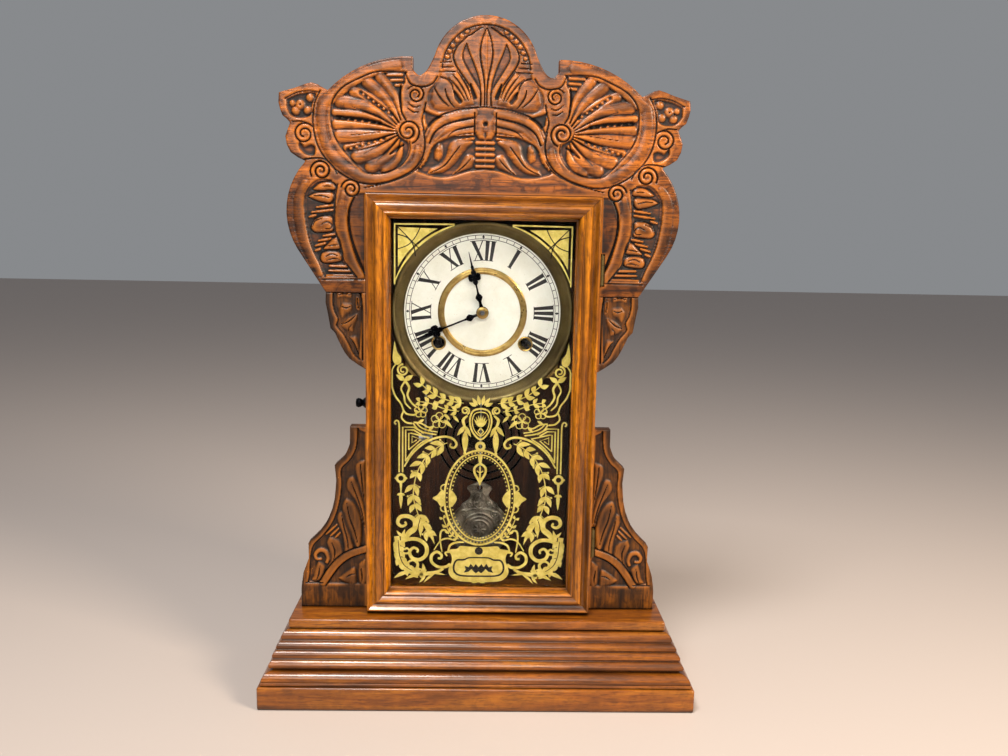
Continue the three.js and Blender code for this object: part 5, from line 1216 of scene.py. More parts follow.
# Dial: a spun brass pan, an enamelled face with its print, brass centre ring and winding holes.
dialPlan = {
    "minuteRing": (60.9, 64.0), "ringWidth": 0.5, "tick": 0.5, "diamond": (1.15, 1.6),
    "numeralInner": 43.4, "numeralOuter": 59.6, "thick": 2.9, "thin": 0.8, "gap": 1.45, "serif": 0.55,
    "print": 0.05, "winding": 36.4, "windingDrop": 26.0, "hole": 5.3, "centreHole": 5, "ringInner": 31.8,
    "sides": 144,
}
numerals = ["XII", "I", "II", "III", "IIII", "V", "VI", "VII", "VIII", "IX", "X", "XI"]
letterWidth = {"I": 2.9, "V": 8.6, "X": 9.2}


# strokes of one letter: (foot across, head across, width), measured from the letter's left
def letterStrokes(letter):
    thick, thin, wide = dialPlan["thick"], dialPlan["thin"], letterWidth[letter]
    if letter == "I":
        return [(wide / 2, wide / 2, thick)]
    if letter == "V":
        return [(wide / 2, thick / 2, thick), (wide / 2 + 0.3, wide - thin, thin)]
    return [(wide - thick / 2, thick / 2, thick), (thin, wide - thin, thin)]


def onDialAt(angle, across, radius):
    middle = (dialPlan["numeralInner"] + dialPlan["numeralOuter"]) / 2
    a = angle + across / middle
    return radius * math.sin(a), dialZ + radius * math.cos(a)


def numeralShapes(text, angle, front, back):
    inner, outer, serif = dialPlan["numeralInner"], dialPlan["numeralOuter"], dialPlan["serif"]
    total = sum(letterWidth[c] for c in text) + dialPlan["gap"] * (len(text) - 1)
    shapes, x = [], -total / 2
    for letter in text:
        for foot, head, width in letterStrokes(letter):
            quad = [(x + foot - width / 2, inner), (x + foot + width / 2, inner),
                    (x + head + width / 2, outer), (x + head - width / 2, outer)]
            shapes.append(plateShape([onDialAt(angle, a, r) for a, r in quad], front, back))
        x += letterWidth[letter] + dialPlan["gap"]
    reach = total / 2 + 0.7
    for radius in (inner, outer):
        bar = [(-reach, radius - serif / 2), (0, radius - serif / 2), (reach, radius - serif / 2),
               (reach, radius + serif / 2), (0, radius + serif / 2), (-reach, radius + serif / 2)]
        shapes.append(plateShape([onDialAt(angle, a, r) for a, r in bar], front - 0.004, back))
    return shapes


def makeDial():
    plan = dialPlan
    edge = faceHigh[0]
    front = faceLow[1]
    rim = lowHigh("dial_pan")[1][0]
    profile = [
        (edge - 8, front + 1.1), (edge + 0.6, front + 1.1), (edge + 1.1, front + 0.2), (edge + 1.7, front - 1.2),
        (edge + 3.2, front - 2.6), (edge + 5.0, front - 4.5), (rim - 5.0, front - 6.0), (rim - 4.2, front - 6.9),
        (rim - 3.4, front - 7.7), (rim - 2.4, front - 8.0), (rim - 1.2, front - 7.8), (rim - 0.4, front - 7.2),
        (rim, front - 6.2), (rim, front + 4.1), (rim - 1.1, front + 4.1), (rim - 1.1, front - 4.8),
        (rim - 4.4, front - 3.6), (edge + 3.0, front - 0.4), (edge + 2.0, front + 2.2), (edge - 8, front + 2.2),
    ]
    points, faces = turnedShape(0, dialZ, profile, plan["sides"])
    newPiece("dialPan", points, faces, "case", metals["brass, aged"], ("dial_pan",), angle=40)

    # face with its winding and centre holes
    rings = [arcLine(0, dialZ, edge, 0, 360, plan["sides"])[:-1],
             arcLine(0, dialZ, plan["centreHole"], 0, 360, 40)[:-1]]
    rings += [arcLine(s * plan["winding"], dialZ - plan["windingDrop"], plan["hole"] + 0.05, 0, 360, 40)[:-1]
              for s in (-1, 1)]
    points, faces = piercedPlate(rings, front, faceHigh[1])
    newPiece("dialFace", points, faces, "case", dialWhite, ("dial_face",), angle=30)

    # print: rings, ticks, diamonds at the hours, numerals
    near, far = front - plan["print"], front + 0.02
    shapes = []
    for radius in plan["minuteRing"]:
        half = plan["ringWidth"] / 2
        shapes.append(ringShape(0, dialZ, radius - half, radius + half, near, far, plan["sides"]))
    inner, outer = plan["minuteRing"]
    for minute in range(60):
        a = 2 * math.pi * minute / 60
        across = np.array([math.cos(a), -math.sin(a)])
        out = np.array([math.sin(a), math.cos(a)])
        centre = np.array([0, dialZ])
        if minute % 5:
            half = plan["tick"] / 2
            line = [centre + out * inner - across * half, centre + out * outer - across * half,
                    centre + out * outer + across * half, centre + out * inner + across * half]
        else:
            wide, tall = plan["diamond"]
            middle = centre + out * (inner + outer) / 2
            line = [middle - out * tall, middle - across * wide, middle + out * tall, middle + across * wide]
        shapes.append(plateShape(line, near - 0.006, far))
    for hour, text in enumerate(numerals):
        shapes += numeralShapes(text, 2 * math.pi * hour / 12, near, far)
    points, faces = merged(shapes)
    newPiece("dialPrint", points, faces, "case", dialBlack, angle=20)

    # centre ring and grommets, turned smooth
    ringLow, ringHigh = lowHigh("dial_centre_ring")
    top, foot = ringLow[1], ringHigh[1]
    inner, outer = plan["ringInner"], ringHigh[0]
    profile = [(inner, foot), (inner + 0.2, foot - 0.5), (inner + 1.0, top + 0.25), (inner + 1.9, top),
               (inner + 2.75, top + 0.3),
               (inner + 3.6, top), (outer - 1.0, top + 0.25), (outer - 0.2, foot - 0.5), (outer, foot)]
    points, faces = turnedShape(0, dialZ, profile, 120)
    newPiece("dialCentreRing", points, faces, "case", metals["brass, lacquered"], ("dial_centre_ring",))
    for side, sign in (("left", -1), ("right", 1)):
        node = "winding_grommet_" + side
        low, high = lowHigh(node)
        front, back = low[1], high[1]
        hole = plan["hole"]
        profile = [(hole - 0.5, back), (hole, back), (hole, front + 0.9), (6.3, front + 0.9), (6.3, front + 0.6),
                   (6.0, front + 0.15), (5.6, front), (hole - 0.2, front + 0.15), (hole - 0.5, front + 0.6)]
        points, faces = turnedShape(sign * plan["winding"], dialZ - plan["windingDrop"], profile, 48)
        newPiece("windingGrommet_" + side, points, faces, "case", metals["brass, lacquered"], (node,))
    print("dial made")


makeDial()


# Hands: pierced from thin blued steel, each with a swelling near its eye and a cross near its tip.
handPlans = {
    "minuteHand": {"node": "minute_hand", "body": "hand_shaft", "angle": 247.5, "length": 63.0, "cross": 42.0,
                   "eye": 3.6, "bore": 2.1},
    "hourHand": {"node": "hour_hand", "body": "hour_pipe", "angle": 346.5, "length": 51.5, "cross": 30.0,
                 "eye": 5.2, "bore": 3.5},
}


def handLine(plan):
    eye, cross, length = plan["eye"], plan["cross"], plan["length"]
    right = [tuple(p) for p in arcLine(0, 0, eye, -90, 70, 20)]
    right += [(1.15, eye + 2.4), (1.2, eye + 4.4), (2.0, eye + 5.6), (3.1, eye + 7.6), (2.3, eye + 9.4),
              (1.0, eye + 10.8), (0.7, eye + 13.0)]
    right += [(0.75, cross - 6.5), (1.6, cross - 5.6), (2.3, cross - 4.2), (1.9, cross - 2.9), (3.2, cross - 3.3),
              (4.9, cross - 2.3), (5.2, cross), (4.9, cross + 2.3), (3.2, cross + 3.3), (1.9, cross + 2.9),
              (2.3, cross + 4.2), (1.6, cross + 5.6), (1.1, cross + 7.0), (1.4, cross + 8.6), (0.8, cross + 10.0),
              (0.5, length - 5), (0.18, length)]
    return right + [(-x, z) for x, z in reversed(right)][:-1]


def makeHands():
    for name, plan in handPlans.items():
        low, high = lowHigh(plan["node"])
        turn = math.radians(plan["angle"])
        rings = [handLine(plan), arcLine(0, 0, plan["bore"], 0, 360, 28)[:-1]]
        turned = [[(x * math.cos(turn) + z * math.sin(turn), dialZ - x * math.sin(turn) + z * math.cos(turn))
                   for x, z in ring] for ring in rings]
        points, faces = piercedPlate(turned, low[1], high[1])
        newPiece(name, points, faces, plan["body"], metals["steel, blued black"], (plan["node"],),
                 angle=30)
    low, high = lowHigh("hand_nut")
    front, back = low[1], high[1]
    profile = [(2.1, back), (4.5, back), (4.8, back - 0.35), (4.8, back - 0.8), (4.4, back - 1.05), (3.5, back - 1.2),
               (3.1, front + 0.05), (2.4, front), (2.1, front + 0.15)]
    points, faces = turnedShape(0, dialZ, profile, 48)
    newPiece("handNut", points, faces, "hand_shaft", metals["brass, lacquered"], ("hand_nut",), angle=30)


makeHands()
print("hands made")


# Stencilled gilding on the back of the pane, drawn for the left half and mirrored. Places are
# millimetres across and up; the drawing's own axis lies at "axis".
giltPlan = {
    "axis": 3.4, "line": 1.25, "gap": 0.03, "thick": 0.05,
    "ovalCentre": (3.4, 169.0), "oval": (29.8, 41.2), "ovalInner": (25.6, 37.4), "beads": 62, "bead": 0.72,
    "cartouche": (3.4, 233.0), "pane": (74.0, 399.0),
}


def ellipse(x, z, a, b, start=0, end=360, steps=72):
    t = np.radians(np.linspace(start, end, steps + 1))
    return np.stack([x + a * np.cos(t), z + b * np.sin(t)], 1)


# a pointed leaf between two places, fuller near its foot
def leafLine(foot, tip, width, lean=0.0):
    foot, tip = np.array(foot, float), np.array(tip, float)
    run = tip - foot
    side = np.array([-run[1], run[0]]) / max(np.hypot(*run), 1e-6)
    left = [foot + run * t + side * (w * width / 2 + lean * math.sin(math.pi * t))
            for t, w in ((0.0, 0.15), (0.16, 0.66), (0.36, 1.0), (0.58, 0.86), (0.8, 0.46), (1.0, 0.0))]
    right = [foot + run * t - side * (w * width / 2 - lean * math.sin(math.pi * t))
             for t, w in ((0.8, 0.46), (0.58, 0.86), (0.36, 1.0), (0.16, 0.66), (0.0, 0.15))]
    return left + right


# leaves in pairs up a stem, with berries on stalks between them
def laurel(line, pairs, length, width, berries=True):
    parts = [("line", line, [0.7, 0.9, 0.7])]
    places = np.linspace(0.04, 0.93, pairs) * (len(line) - 1)
    for k, place in enumerate(places):
        i = int(place)
        run = line[min(i + 1, len(line) - 1)] - line[max(i - 1, 0)]
        angle = math.atan2(run[1], run[0])
        for side in (-1, 1):
            spread = 0.52 + 0.1 * math.sin(3.1 * k + side)
            reach = length * (0.92 + 0.12 * math.cos(2.3 * k * side))
            tip = line[i] + reach * np.array([math.cos(angle + side * spread), math.sin(angle + side * spread)])
            foot = line[i] + 1.4 * np.array([math.cos(angle + side * 0.4), math.sin(angle + side * 0.4)])
            parts.append(("fill", leafLine(foot, tip, width, side * 0.5)))
            if berries and k % 2 == (side > 0):
                stalk = line[i] + 5.2 * np.array([math.cos(angle + side * 1.15), math.sin(angle + side * 1.15)])
                parts.append(("line", np.array([line[i], stalk]), [0.5, 0.4]))
                parts.append(("fill", arcLine(*stalk, 0.85, 0, 330, 11)))
    return parts


def flower(x, z, radius, petals=5):
    parts = []
    for k in range(petals):
        a = 2 * math.pi * k / petals + 0.3
        centre = (x + radius * 0.56 * math.cos(a), z + radius * 0.56 * math.sin(a))
        parts.append(("line", np.vstack([arcLine(*centre, radius * 0.42, 0, 360, 14)]), 0.75))
    parts.append(("fill", arcLine(x, z, radius * 0.2, 0, 330, 11)))
    return parts


# the left half: cartouches and frames with their dark cuts
def giltFrames():
    line = giltPlan["line"]
    parts = [
        # corner of the upper field, round the dial
        ("line", [(-68.4, 348), (-68.4, 396.6)], 1.2), ("line", [(-68.9, 396.6), (-20, 397.1)], 1.3),
        ("line", arcLine(1.5, 325.5, 74.0, 107, 160, 28), [0.8, 1.9, 1.9, 0.8]),
        ("fill", [(-65.8, 394.2), *arcLine(1.5, 325.5, 76.6, 117.5, 151, 14), (-65.8, 362)]),
        ("dark", curve([(-66.5, 388.5), (-58.5, 386), (-53.4, 380), (-51.6, 371)], 10), 0.95),
        ("dark", curve([(-47.5, 394.8), (-51.8, 386.4), (-57.6, 380), (-66.5, 376.5)], 10), 0.8),
        ("dark", [(-66.5, 394.8), (-49, 377.5)], 0.8),
        # key fret and its long scroll
        ("line", curve([(-64.6, 190.5), (-64.6, 210), (-64.6, 231), (-66.6, 235), (-68.6, 233.2), (-67.2, 231.6)], 20),
         line),
        ("line", [(-61.7, 190.5), (-61.7, 229.4), (-52.4, 229.4), (-44, 224.4)], line),
        ("line", [(-59.2, 200), (-59.2, 227), (-52.4, 227), (-46, 223)], line),
        ("line", [*curve([(-59.2, 200.5), (-53.5, 209), (-47, 215.5), (-39, 220.5)], 10), (-54.4, 224.2),
                  (-56.6, 224.2),
                  (-56.6, 210)], 1.1),
        ("line", [(-56.6, 210), (-46.5, 219), (-53.9, 221.8), (-53.9, 216), (-50, 218.6)], 1.0),
        ("line", curve([(-60.3, 195.5), (-54, 206), (-46, 214), (-37, 219.4), (-27, 221.7), (-20, 220), (-16.6, 215.7),
                        (-18.6, 212.3), (-22, 213.4), (-21.2, 216)], 44), [1.2, 1.7, 1.9, 1.9, 1.2]),
        ("line", curve([(-53, 233), (-49, 227.6), (-42, 224.6), (-33.5, 223.4)], 12), line),
        ("line", curve([(-51, 234), (-46.6, 229.4), (-40, 226.8), (-32.5, 225.6)], 12), 1.0),
        # ring and drop under the fret
        ("line", arcLine(-63.1, 185.4, 3.3, 0, 360, 24), 2.1), ("fill", leafLine((-68.6, 185.4), (-65.9, 185.4), 2.2)),
        ("fill", leafLine((-57.6, 185.4), (-60.3, 185.4), 2.2)),
        ("line", [(-63.1, 181.6), (-63.1, 173)], [2.4, 0.9]), ("fill", leafLine((-63.1, 172), (-66.6, 170.6), 2.4)),
        ("fill", leafLine((-63.1, 172), (-59.6, 170.6), 2.4)), ("fill", leafLine((-63.1, 174), (-63.1, 158.6), 3.1)),
    ]
    x = giltPlan["ovalCentre"][0]
    # lobe on the oval's flank
    parts += [
        ("fill", curve([(-22.6, 177), (-18.6, 173.5), (-15.8, 168), (-18.6, 162.6), (-22.6, 159.6)], 12)),
        ("fill", curve([(-26.6, 174.6), (-29.5, 174.8), (-32.4, 171), (-36.4, 168.4), (-32.4, 165.4), (-29.8, 161.6),
                        (-26.6, 161.8)], 18)),
        ("line", curve([(-25.4, 180.4), (-28.4, 179.6), (-29.6, 176.6), (-27.4, 174.6)], 8), 1.1),
        ("line", curve([(-25.4, 156.4), (-28.4, 157.2), (-29.6, 160.2), (-27.4, 162.2)], 8), 1.1),
    ]
    # lower cartouche with its C scrolls
    parts += [
        ("fill", np.vstack([[(x, 125.6)], curve([(-6, 126), (-12.4, 126.4), (-15, 124), (-22, 122.6), (-20, 118),
                                                 (-19.6, 113), (-21.6, 108), (-22.3, 103), (-20, 98.4), (-14.6, 95.2),
                                                 (-5, 94.4)], 40), [(x, 94)]])),
        ("line", curve([(-21, 110.2), (-25, 107.6), (-31.5, 107.8), (-36.8, 112), (-36.8, 117.8), (-32.6, 121),
                        (-28.6, 118.6),
                        (-29, 115.4), (-31.6, 115.4)], 40), [2.6, 2.4, 2.6, 2.2, 2.0]),
        ("line", curve([(-21, 121.4), (-25.2, 120.2), (-23.6, 117.4)], 8), [2.2, 1.6, 1.2]),
        ("dark", curve([(x, 116.2), (-5, 116), (-9.4, 114.2), (-15.5, 113.6), (-18, 108), (-16.6, 102.6), (-11, 99.9),
                        (x, 99.6)], 30), [1.1, 1.5, 1.7, 1.3]),
        ("darkFill", [(x, 107.6), (1, 110.5), (-1, 107.8), (-3.4, 110.8), (-5.2, 107.6), (-8.6, 108.8), (-7.6, 105.6),
                      (-9.4, 102.6), (-5, 103.6), (-2.6, 106), (-0.8, 103.8), (1.2, 102.2), (x, 103.8)]),
        ("darkFill", arcLine(x, 122.2, 3.5, 90, 270, 6)),
    ]
    return parts


# foliage of the left half: laurel, tendrils, garland and flowers, and the acanthus in the foot
def giltLeaves():
    parts = laurel(curve([(-38.8, 134), (-41.7, 141), (-46, 148), (-49.4, 156.7), (-52, 165.3), (-52.6, 174),
                          (-51.2, 184),
                          (-48, 194), (-43, 202.6), (-37.4, 208.3), (-31.6, 213), (-24.4, 216.4)], 60)[::-1], 11, 12.0,
                   4.3)
    parts += [("fill", leafLine((-45, 150), (-34.4, 127.6), 4.2, 1.0)),
              ("fill", leafLine((-45, 151), (-46.4, 133.6), 3.6, -0.6))]
    # big scrolls in the lower corner
    parts += [
        ("line", curve([(-59.8, 131), (-56.6, 137), (-51.2, 142), (-51.6, 148.6), (-57, 152.2), (-63.6, 151.4),
                        (-65.8, 146.6),
                        (-62.6, 143.4), (-58.8, 145), (-59.8, 147.4)], 50), [3.6, 5.0, 3.8, 3.4, 3.0, 2.2, 1.6]),
        ("line", curve([(-66, 127), (-58, 131.6), (-48.6, 131.8), (-41.8, 126.6), (-41.4, 119), (-46.6, 114),
                        (-53.2, 115.2),
                        (-55.6, 120.4), (-52.4, 124.4), (-48.6, 122.6), (-49.4, 120.2)], 60),
         [3.0, 3.2, 3.4, 3.2, 2.8, 2.2, 1.6]),
        ("line", curve([(-61.4, 119.6), (-57.6, 119.4), (-55.8, 121.6), (-57.8, 124), (-60.2, 122.6)], 16), 1.6),
        ("line", curve([(-66.6, 134.6), (-65.6, 126), (-65.8, 117.4), (-61.6, 108.6), (-54.6, 103.4), (-44.6, 101.4),
                        (-33.6, 102.6), (-26.6, 106)], 50), [4.6, 4.2, 5.2, 4.4, 4.4, 3.0, 1.8]),
        *laurel(curve([(-65.4, 133), (-64.8, 125), (-64, 117.4), (-60.6, 109.4), (-53.8, 104), (-44.6, 102)], 50), 8,
                9.0, 4.6,
                False),
        ("dark", curve([(-65.4, 131), (-64.8, 124), (-64, 117.4), (-60.6, 109.4), (-53.8, 104)], 24),
         [0.5, 0.8, 0.8, 0.4]),
        ("line", curve([(-50, 105), (-48.6, 110), (-52.4, 113.4), (-56.6, 111.4), (-56, 108)], 20),
         [2.6, 2.2, 1.8, 1.4]),
        ("fill", leafLine((-61, 134), (-66.9, 139.6), 2.6, 0.4)), ("fill", leafLine((-62.6, 131), (-59.6, 141), 3.4)),
        ("fill", leafLine((-57, 103), (-69.2, 97), 3.6, -0.8)),
        ("fill", leafLine((-48, 101.4), (-59.4, 96), 3.2, -0.6)),
        ("fill", leafLine((-42, 101), (-47.6, 93), 2.6, 0.6)), ("fill", leafLine((-34, 101.6), (-44, 92.6), 2.2, -0.8)),
        ("fill", leafLine((-43, 103), (-44.4, 110.6), 3.0)), ("fill", leafLine((-36, 102.6), (-25, 100.6), 2.0)),
    ]
    # tendrils beside the oval's foot
    parts += [
        ("line", curve([(-28, 121), (-29.6, 131), (-29, 139), (-25.6, 140.4), (-22.4, 137)], 20), [0.9, 1.5, 1.7, 1.0]),
        ("line", curve([(-35, 122.4), (-29.6, 130.6), (-24, 133), (-19.4, 132)], 16), [0.8, 1.5, 1.3]),
        ("line", curve([(-22.8, 121.6), (-21, 127), (-15.6, 129.6), (-9.6, 129.8)], 14), [1.4, 2.0, 1.2]),
    ]
    parts += laurel(curve([(-14, 132.6), (-19.4, 136), (-23.6, 142), (-27.4, 151)], 24), 5, 5.8, 2.4, False)
    # ribbons down from the dial's flank
    parts += [
        ("fill", curve([(-68.4, 302), (-66.4, 293), (-63.2, 288), (-63.4, 283.6), (-67, 281.8), (-70, 286),
                        (-69.6, 294)], 26)),
        ("line", spiral(-61.4, 277.4, 5.0, 1.2, 90, 1.6), [1.6, 1.5, 1.1]),
        ("line", curve([(-67, 283), (-70.6, 277), (-71, 266), (-68, 256), (-63, 249), (-61, 243.6), (-58, 240.6),
                        (-52, 240), (-49.6, 242.6), (-52, 244)], 50), [1.0, 1.5, 1.4, 1.5, 1.2]),
        ("fill", leafLine((-60, 269), (-67.4, 273.6), 4.2)), ("fill", leafLine((-60, 269), (-53, 273.4), 4.2)),
        ("line", curve([(-60, 269), (-56.4, 263), (-57.8, 256.6), (-54.6, 250.4), (-49.6, 246)], 24),
         [2.2, 1.8, 1.6, 1.2]),
        ("line", curve([(-60, 268), (-63, 262), (-60.6, 256), (-59.6, 250), (-55, 245)], 24), [1.6, 1.3, 1.5, 1.0]),
        ("line", curve([(-61, 243), (-62.6, 237.6), (-58.8, 233.4), (-53.6, 232.6)], 16), 1.4),
    ]
    # garland: sprigs above, flowers and tendrils below
    parts += laurel(curve([(-11, 250.4), (-24, 252.6), (-36, 257.8), (-47, 266.4)], 30), 6, 9.0, 4.0, False)
    parts += laurel(curve([(-15, 243.4), (-27, 245.4), (-38, 249.6), (-48.6, 251.4)], 30), 5, 7.0, 3.2, False)
    parts += flower(-46.6, 243, 5.6) + flower(-31.2, 235.4, 7.0)
    parts += [("line", spiral(-9.6, 244, 3.6, 1.0, -60, 1.5), [1.5, 1.4, 1.0]),
              ("line", curve([(-52.6, 233.6), (-46, 232.6), (-40.6, 229.6), (-36, 230)], 12), 1.3)]
    for foot, tip, width in (((-27, 236), (-20, 229), 3.0), ((-36, 231), (-40.6, 225.8), 2.6),
                             ((-27, 241), (-22, 236), 2.6),
                             ((-44, 236), (-49.6, 232.8), 2.4), ((-36, 246), (-35, 252.6), 2.8),
                             ((-20, 240), (-14.6, 234), 2.6)):
        parts.append(("fill", leafLine(foot, tip, width)))
    # tassel beside the cartouche
    parts += [("fill", leafLine((-9.4, 227), (-9.6, 206), 5.2)), ("fill", leafLine((-9.6, 231), (-16.4, 222.6), 3.8)),
              ("fill", leafLine((-9.6, 231), (-4.6, 221.6), 3.4)), ("fill", arcLine(-9.6, 207.6, 1.3, 0, 330, 11)),
              ("line", curve([(-9.6, 230), (-11.4, 236), (-7.6, 240)], 8), [1.8, 2.6, 1.4])]
    return parts


# ovals, beads, cartouche, pendant and ring on the axis
def giltMiddle():
    x, z = giltPlan["ovalCentre"]
    a, b = giltPlan["oval"]
    ai, bi = giltPlan["ovalInner"]
    parts = [("line", ellipse(x, z, a, b), 1.7), ("line", ellipse(x, z, ai, bi), 1.1)]
    for k in range(giltPlan["beads"]):
        t = 2 * math.pi * k / giltPlan["beads"]
        for across, up in (((a + ai) / 2 + 0.1, (b + bi) / 2 + 0.1), (ai - 1.9, bi - 1.9)):
            parts.append(("fill", arcLine(x + across * math.cos(t), z + up * math.sin(t), giltPlan["bead"], 0, 300, 5)))
    # palmette in a pointed oval, crowned by a shell
    x, z = giltPlan["cartouche"]
    rim = curve([(x, z + 13), (x - 6.4, z + 11), (x - 9, z + 4), (x - 8, z - 4), (x - 4.6, z - 10), (x, z - 13.4),
                 (x + 4.6, z - 10), (x + 8, z - 4), (x + 9, z + 4), (x + 6.4, z + 11), (x, z + 13)], 60)
    inner = np.array([(x, z)]) + (rim - np.array([(x, z)])) * 0.78
    parts += [("line", rim, 1.5), ("line", inner, 0.9)]
    for spread in (-60, -38, -18, 0, 18, 38, 60):
        t = math.radians(spread)
        tip = (x + 8.2 * math.sin(t) * 0.8, z + 0.5 + 8.6 * math.cos(t) * 0.85)
        parts.append(("fill", leafLine((x + math.sin(t) * 1.5, z - 2.6), tip, 1.8)))
    parts += [("line", [(x, z - 3.6), (x - 2.4, z - 6.6), (x, z - 9.6), (x + 2.4, z - 6.6), (x, z - 3.6)], 1.1)]
    for spread in (-75, -45, -15, 15, 45, 75):
        t = math.radians(spread)
        foot = (x + 4.2 * math.sin(t), z + 14.6 + 1.4 * math.cos(t))
        parts.append(("fill", leafLine(foot, (x + 10.5 * math.sin(t), z + 15.6 + 9.2 * math.cos(t)), 3.1)))
    # ring, and the pendant that hangs in the oval
    parts += [("line", arcLine(x, 213.6, 3.1, 0, 360, 30), 2.5), ("line", [(x, 206.8), (x, 198)], [4.6, 2.0, 1.6]),
              ("line", curve([(x, 199), (x - 4.3, 195.6), (x - 4.6, 191), (x - 2, 186), (x, 183), (x + 2, 186),
                              (x + 4.6, 191), (x + 4.3, 195.6), (x, 199)], 40), 1.9),
              ("fill", leafLine((x, 187.6), (x, 179.6), 3.4)), ("line", [(x, 196), (x, 187)], 1.3),
              ("line", [(x - 2.6, 192.6), (x, 190.6), (x + 2.6, 192.6)], 1.1),
              ("fill", leafLine((x, 91 + 4), (x - 6, 93.4), 2.0)), ("fill", leafLine((x, 91 + 4), (x + 6, 93.4), 2.0))]
    return parts


# each part becomes a thin solid on the pane; dark cuts lie on the gold
def giltShapes(parts, mirrorToo):
    shapes = {"gold": [], "dark": []}
    limit = giltPlan["pane"][0]
    for count, (kind, line, *width) in enumerate(parts):
        ink = "dark" if kind.startswith("dark") else "gold"
        near = glassHigh[1] + giltPlan["gap"]
        far = near + giltPlan["thick"]
        if ink == "dark":
            near, far = near - 0.02, far - 0.02
        near -= 0.0006 * (count % 16)
        line = np.array(line, float) - (giltPlan["axis"], 0)
        line[:, 0] = np.clip(line[:, 0], -limit, limit)
        for sign in ((1, -1) if mirrorToo else (1,)):
            side = line * (sign, 1)
            if kind in ("fill", "darkFill"):
                shapes[ink].append(plateShape(side, near, far))
            else:
                shapes[ink].append(stroke(side, width[0], near, far))
    return shapes


def makeGilding():
    left = giltShapes(giltFrames() + giltLeaves(), True)
    middle = giltShapes(giltMiddle(), False)
    for ink, name, material in (("gold", "giltStencil", gilt), ("dark", "giltStencilCuts", glassBlack)):
        points, faces = merged(left[ink] + middle[ink])
        newPiece(name, points, faces, "door", material, angle=30)
    print("gilding made")


glassBlack = paint("stencil ground, dark brown", paintLooks["stencil ground, dark brown"])
makeGilding()


# Bob: a thin plate pressed into a lens with ringed bands, a framed oval above it and scrolls at
# its top, then nickelled. bands are (radius, width, height) in millimetres.
bobPlan = {
    "lens": [(0, 2.3), (8, 2.0), (14, 1.4), (19, 0.7), (24, 0.1)], "step": 0.4, "plate": 2.6, "lift": 3.4,
    "bands": [(8.4, 1.5, 0.8), (11.4, 1.2, 0.5), (14.6, 2.0, 0.9), (24.4, 1.3, 0.7)],
    "oval": (0, 158.5, 5.6, 7.4), "eye": 169.2, "eyeRadius": 2.6,
}


def bobOutline(x, z, radius, top):
    side = [tuple(p) for p in arcLine(x, z, radius, -90, 50, 40)]
    side += [tuple(p) for p in curve([(15.5, z + 22.5), (9.5, z + 27), (8, z + 32), (11, z + 37), (6, z + 40.5),
                                      (0, top)], 24)][:-1]
    return np.array(side + [(0, top)] + [(-px, pz) for px, pz in reversed(side[1:])])


def makeBob():
    plan = bobPlan
    low, high = lowHigh("pendulum_bob")
    x, radius = 0.0, high[0]
    z = low[2] + radius
    sheet = newSheet((low[0], low[2]), (high[0], high[2]), 0.0, plan["step"])
    for r, width, height in plan["bands"]:
        ridge(sheet, arcLine(x, z, r, 0, 360, 64), width, height, 0)
    for angle in range(0, 360, 45):
        a = math.radians(angle)
        ridge(sheet, [(x + 2 * math.cos(a), z + 2 * math.sin(a)), (x + 5.6 * math.cos(a), z + 5.6 * math.sin(a))],
              [1.2, 2.6, 1.0], 0.8, 0)
    for sign in (-1, 1):
        for angle in (-50, -18, 14, 46):
            a = math.radians(90 - sign * (90 - angle))
            cx, cz = x + 19.6 * math.cos(a), z + 19.6 * math.sin(a)
            ridge(sheet, spiral(cx, cz, 3.4, 0.6, math.degrees(a) + 90, 1.5 * sign), [1.1, 1.5, 1.3], 0.9, 0)
        for cx, cz, r in ((9.6, 163.2, 2.6), (8.6, 154.4, 2.6), (5.0, 170.6, 2.4), (13.6, 153.6, 2.0)):
            ridge(sheet, spiral(sign * cx, cz, r, 0.5, 200 if sign > 0 else -20, 1.5 * sign), [1.1, 1.4, 1.2], 1.0, 0)
        ridge(sheet, curve([(sign * 3, 150.4), (sign * 9, 149.4), (sign * 14.5, 146.6)], 10), [1.6, 1.8, 0.8], 0.8, 0)
    for cx, cz, a, b in (plan["oval"],):
        around = arcLine(0, 0, 1, 0, 360, 40) * (a, b) + (cx, cz)
        ridge(sheet, around, 1.5, 1.0, 0)
        knob(sheet, cx, cz + 2.2, 2.0, 1.2, 0)
        ridge(sheet, [(cx, cz - 5), (cx, cz)], [2.6, 1.2], 0.9, 0)
    gx, gz = np.meshgrid(sheet["x"], sheet["z"])
    distance, swell = np.hypot(gx - x, gz - z), np.array(plan["lens"])
    sheet["raised"] += np.interp(distance, swell[:, 0], swell[:, 1])
    face = low[1] + plan["lift"]
    rings = [bobOutline(x, z, radius, high[2]), arcLine(x, plan["eye"], plan["eyeRadius"], 0, 360, 24)[:-1]]
    carvedBoard("bobEmbossed", "pendulum_bob", sheet, "pendulum", metals["pot metal, nickelled"],
                rings=rings, planes=(face, face + plan["plate"]))


# Gong: round steel wire wound flat, blued by its hardening.
gongPlan = {"first": 15.0, "loops": 4, "around": 14, "perLoop": 60, "drop": 120.0, "tail": (7.4, 10)}


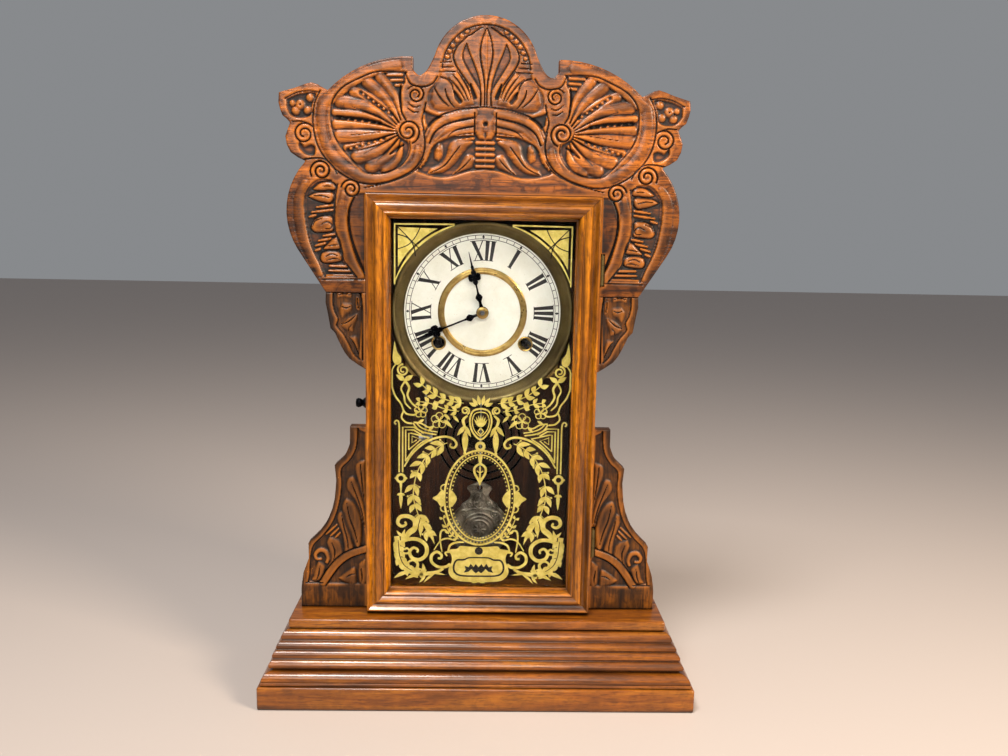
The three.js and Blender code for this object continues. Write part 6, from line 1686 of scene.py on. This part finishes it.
def makeGong():
    low, high = lowHigh("gong_coil")
    wire, y = (high[1] - low[1]) / 2, (low[1] + high[1]) / 2
    x, z = 0.0, dialZ - gongPlan["drop"]
    steps = gongPlan["loops"] * gongPlan["perLoop"]
    last = high[0] - wire
    line = [(x + out, z) for out in gongPlan["tail"]]
    for i in range(steps + 1):
        a = 2 * math.pi * i / gongPlan["perLoop"]
        r = gongPlan["first"] + (last - gongPlan["first"]) * i / steps
        line.append((x + r * math.cos(a), z + r * math.sin(a)))
    line = np.array(line)
    run = np.gradient(line, axis=0)
    run /= np.hypot(run[:, 0], run[:, 1])[:, None]
    sections = []
    for (px, pz), (rx, rz) in zip(line, run):
        turns = [2 * math.pi * k / gongPlan["around"] for k in range(gongPlan["around"])]
        sections.append([(px - rz * wire * math.cos(t), y + wire * math.sin(t),
                          pz + rx * wire * math.cos(t)) for t in turns])
    points, faces = skin(sections)
    newPiece("gongCoil", points, faces, "case", metals["steel, blued black"], ("gong_coil",), angle=60)


makeBob()
makeGong()
print("bob and gong made")


# Metal and wood that stay as the CAD drew them, each with the finish of its slot.
cadFinishes = {
    "brass wheel on a steel arbor": ["time_great_wheel", "strike_great_wheel"],
    "brass, lacquered": ["movement_front_plate", "movement_back_plate", "time_second_wheel",
                         "time_third_wheel", "escape_wheel", "centre_wheel", "strike_second_wheel",
                         "strike_third_wheel", "strike_fly", "minute_wheel", "hour_wheel",
                         "verge_cock"],
    "brass, aged": ["hinge_upper_case_leaf", "hinge_upper_door_leaf", "hinge_lower_case_leaf",
                    "hinge_lower_door_leaf", "catch_plate"],
    "steel, polished": ["centre_arbor", "mainspring_time", "mainspring_strike", "verge_and_crutch",
                        "pendulum_rod", "strike_hammer"],
    "steel, blued black": ["door_knob"],
    "iron, japanned": ["gong_block"],
}
cadWoods = {"case": ["case_side_left", "case_side_right", "dial_cleat_left", "dial_cleat_right", "movement_seat"],
            "doorUpright": ["door_glass_bead"]}


def dressNode(node, material):
    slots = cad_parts[node].material_slots
    for slot in slots:
        slot.material = material


def dressNodes():
    for name, nodes in cadFinishes.items():
        for node in nodes:
            dressNode(node, metals[name])
    for name, nodes in cadWoods.items():
        for node in nodes:
            dressNode(node, oaks[name])
    dressNode("door_glass", clearGlass)
    print("plain nodes dressed")


dressNodes()
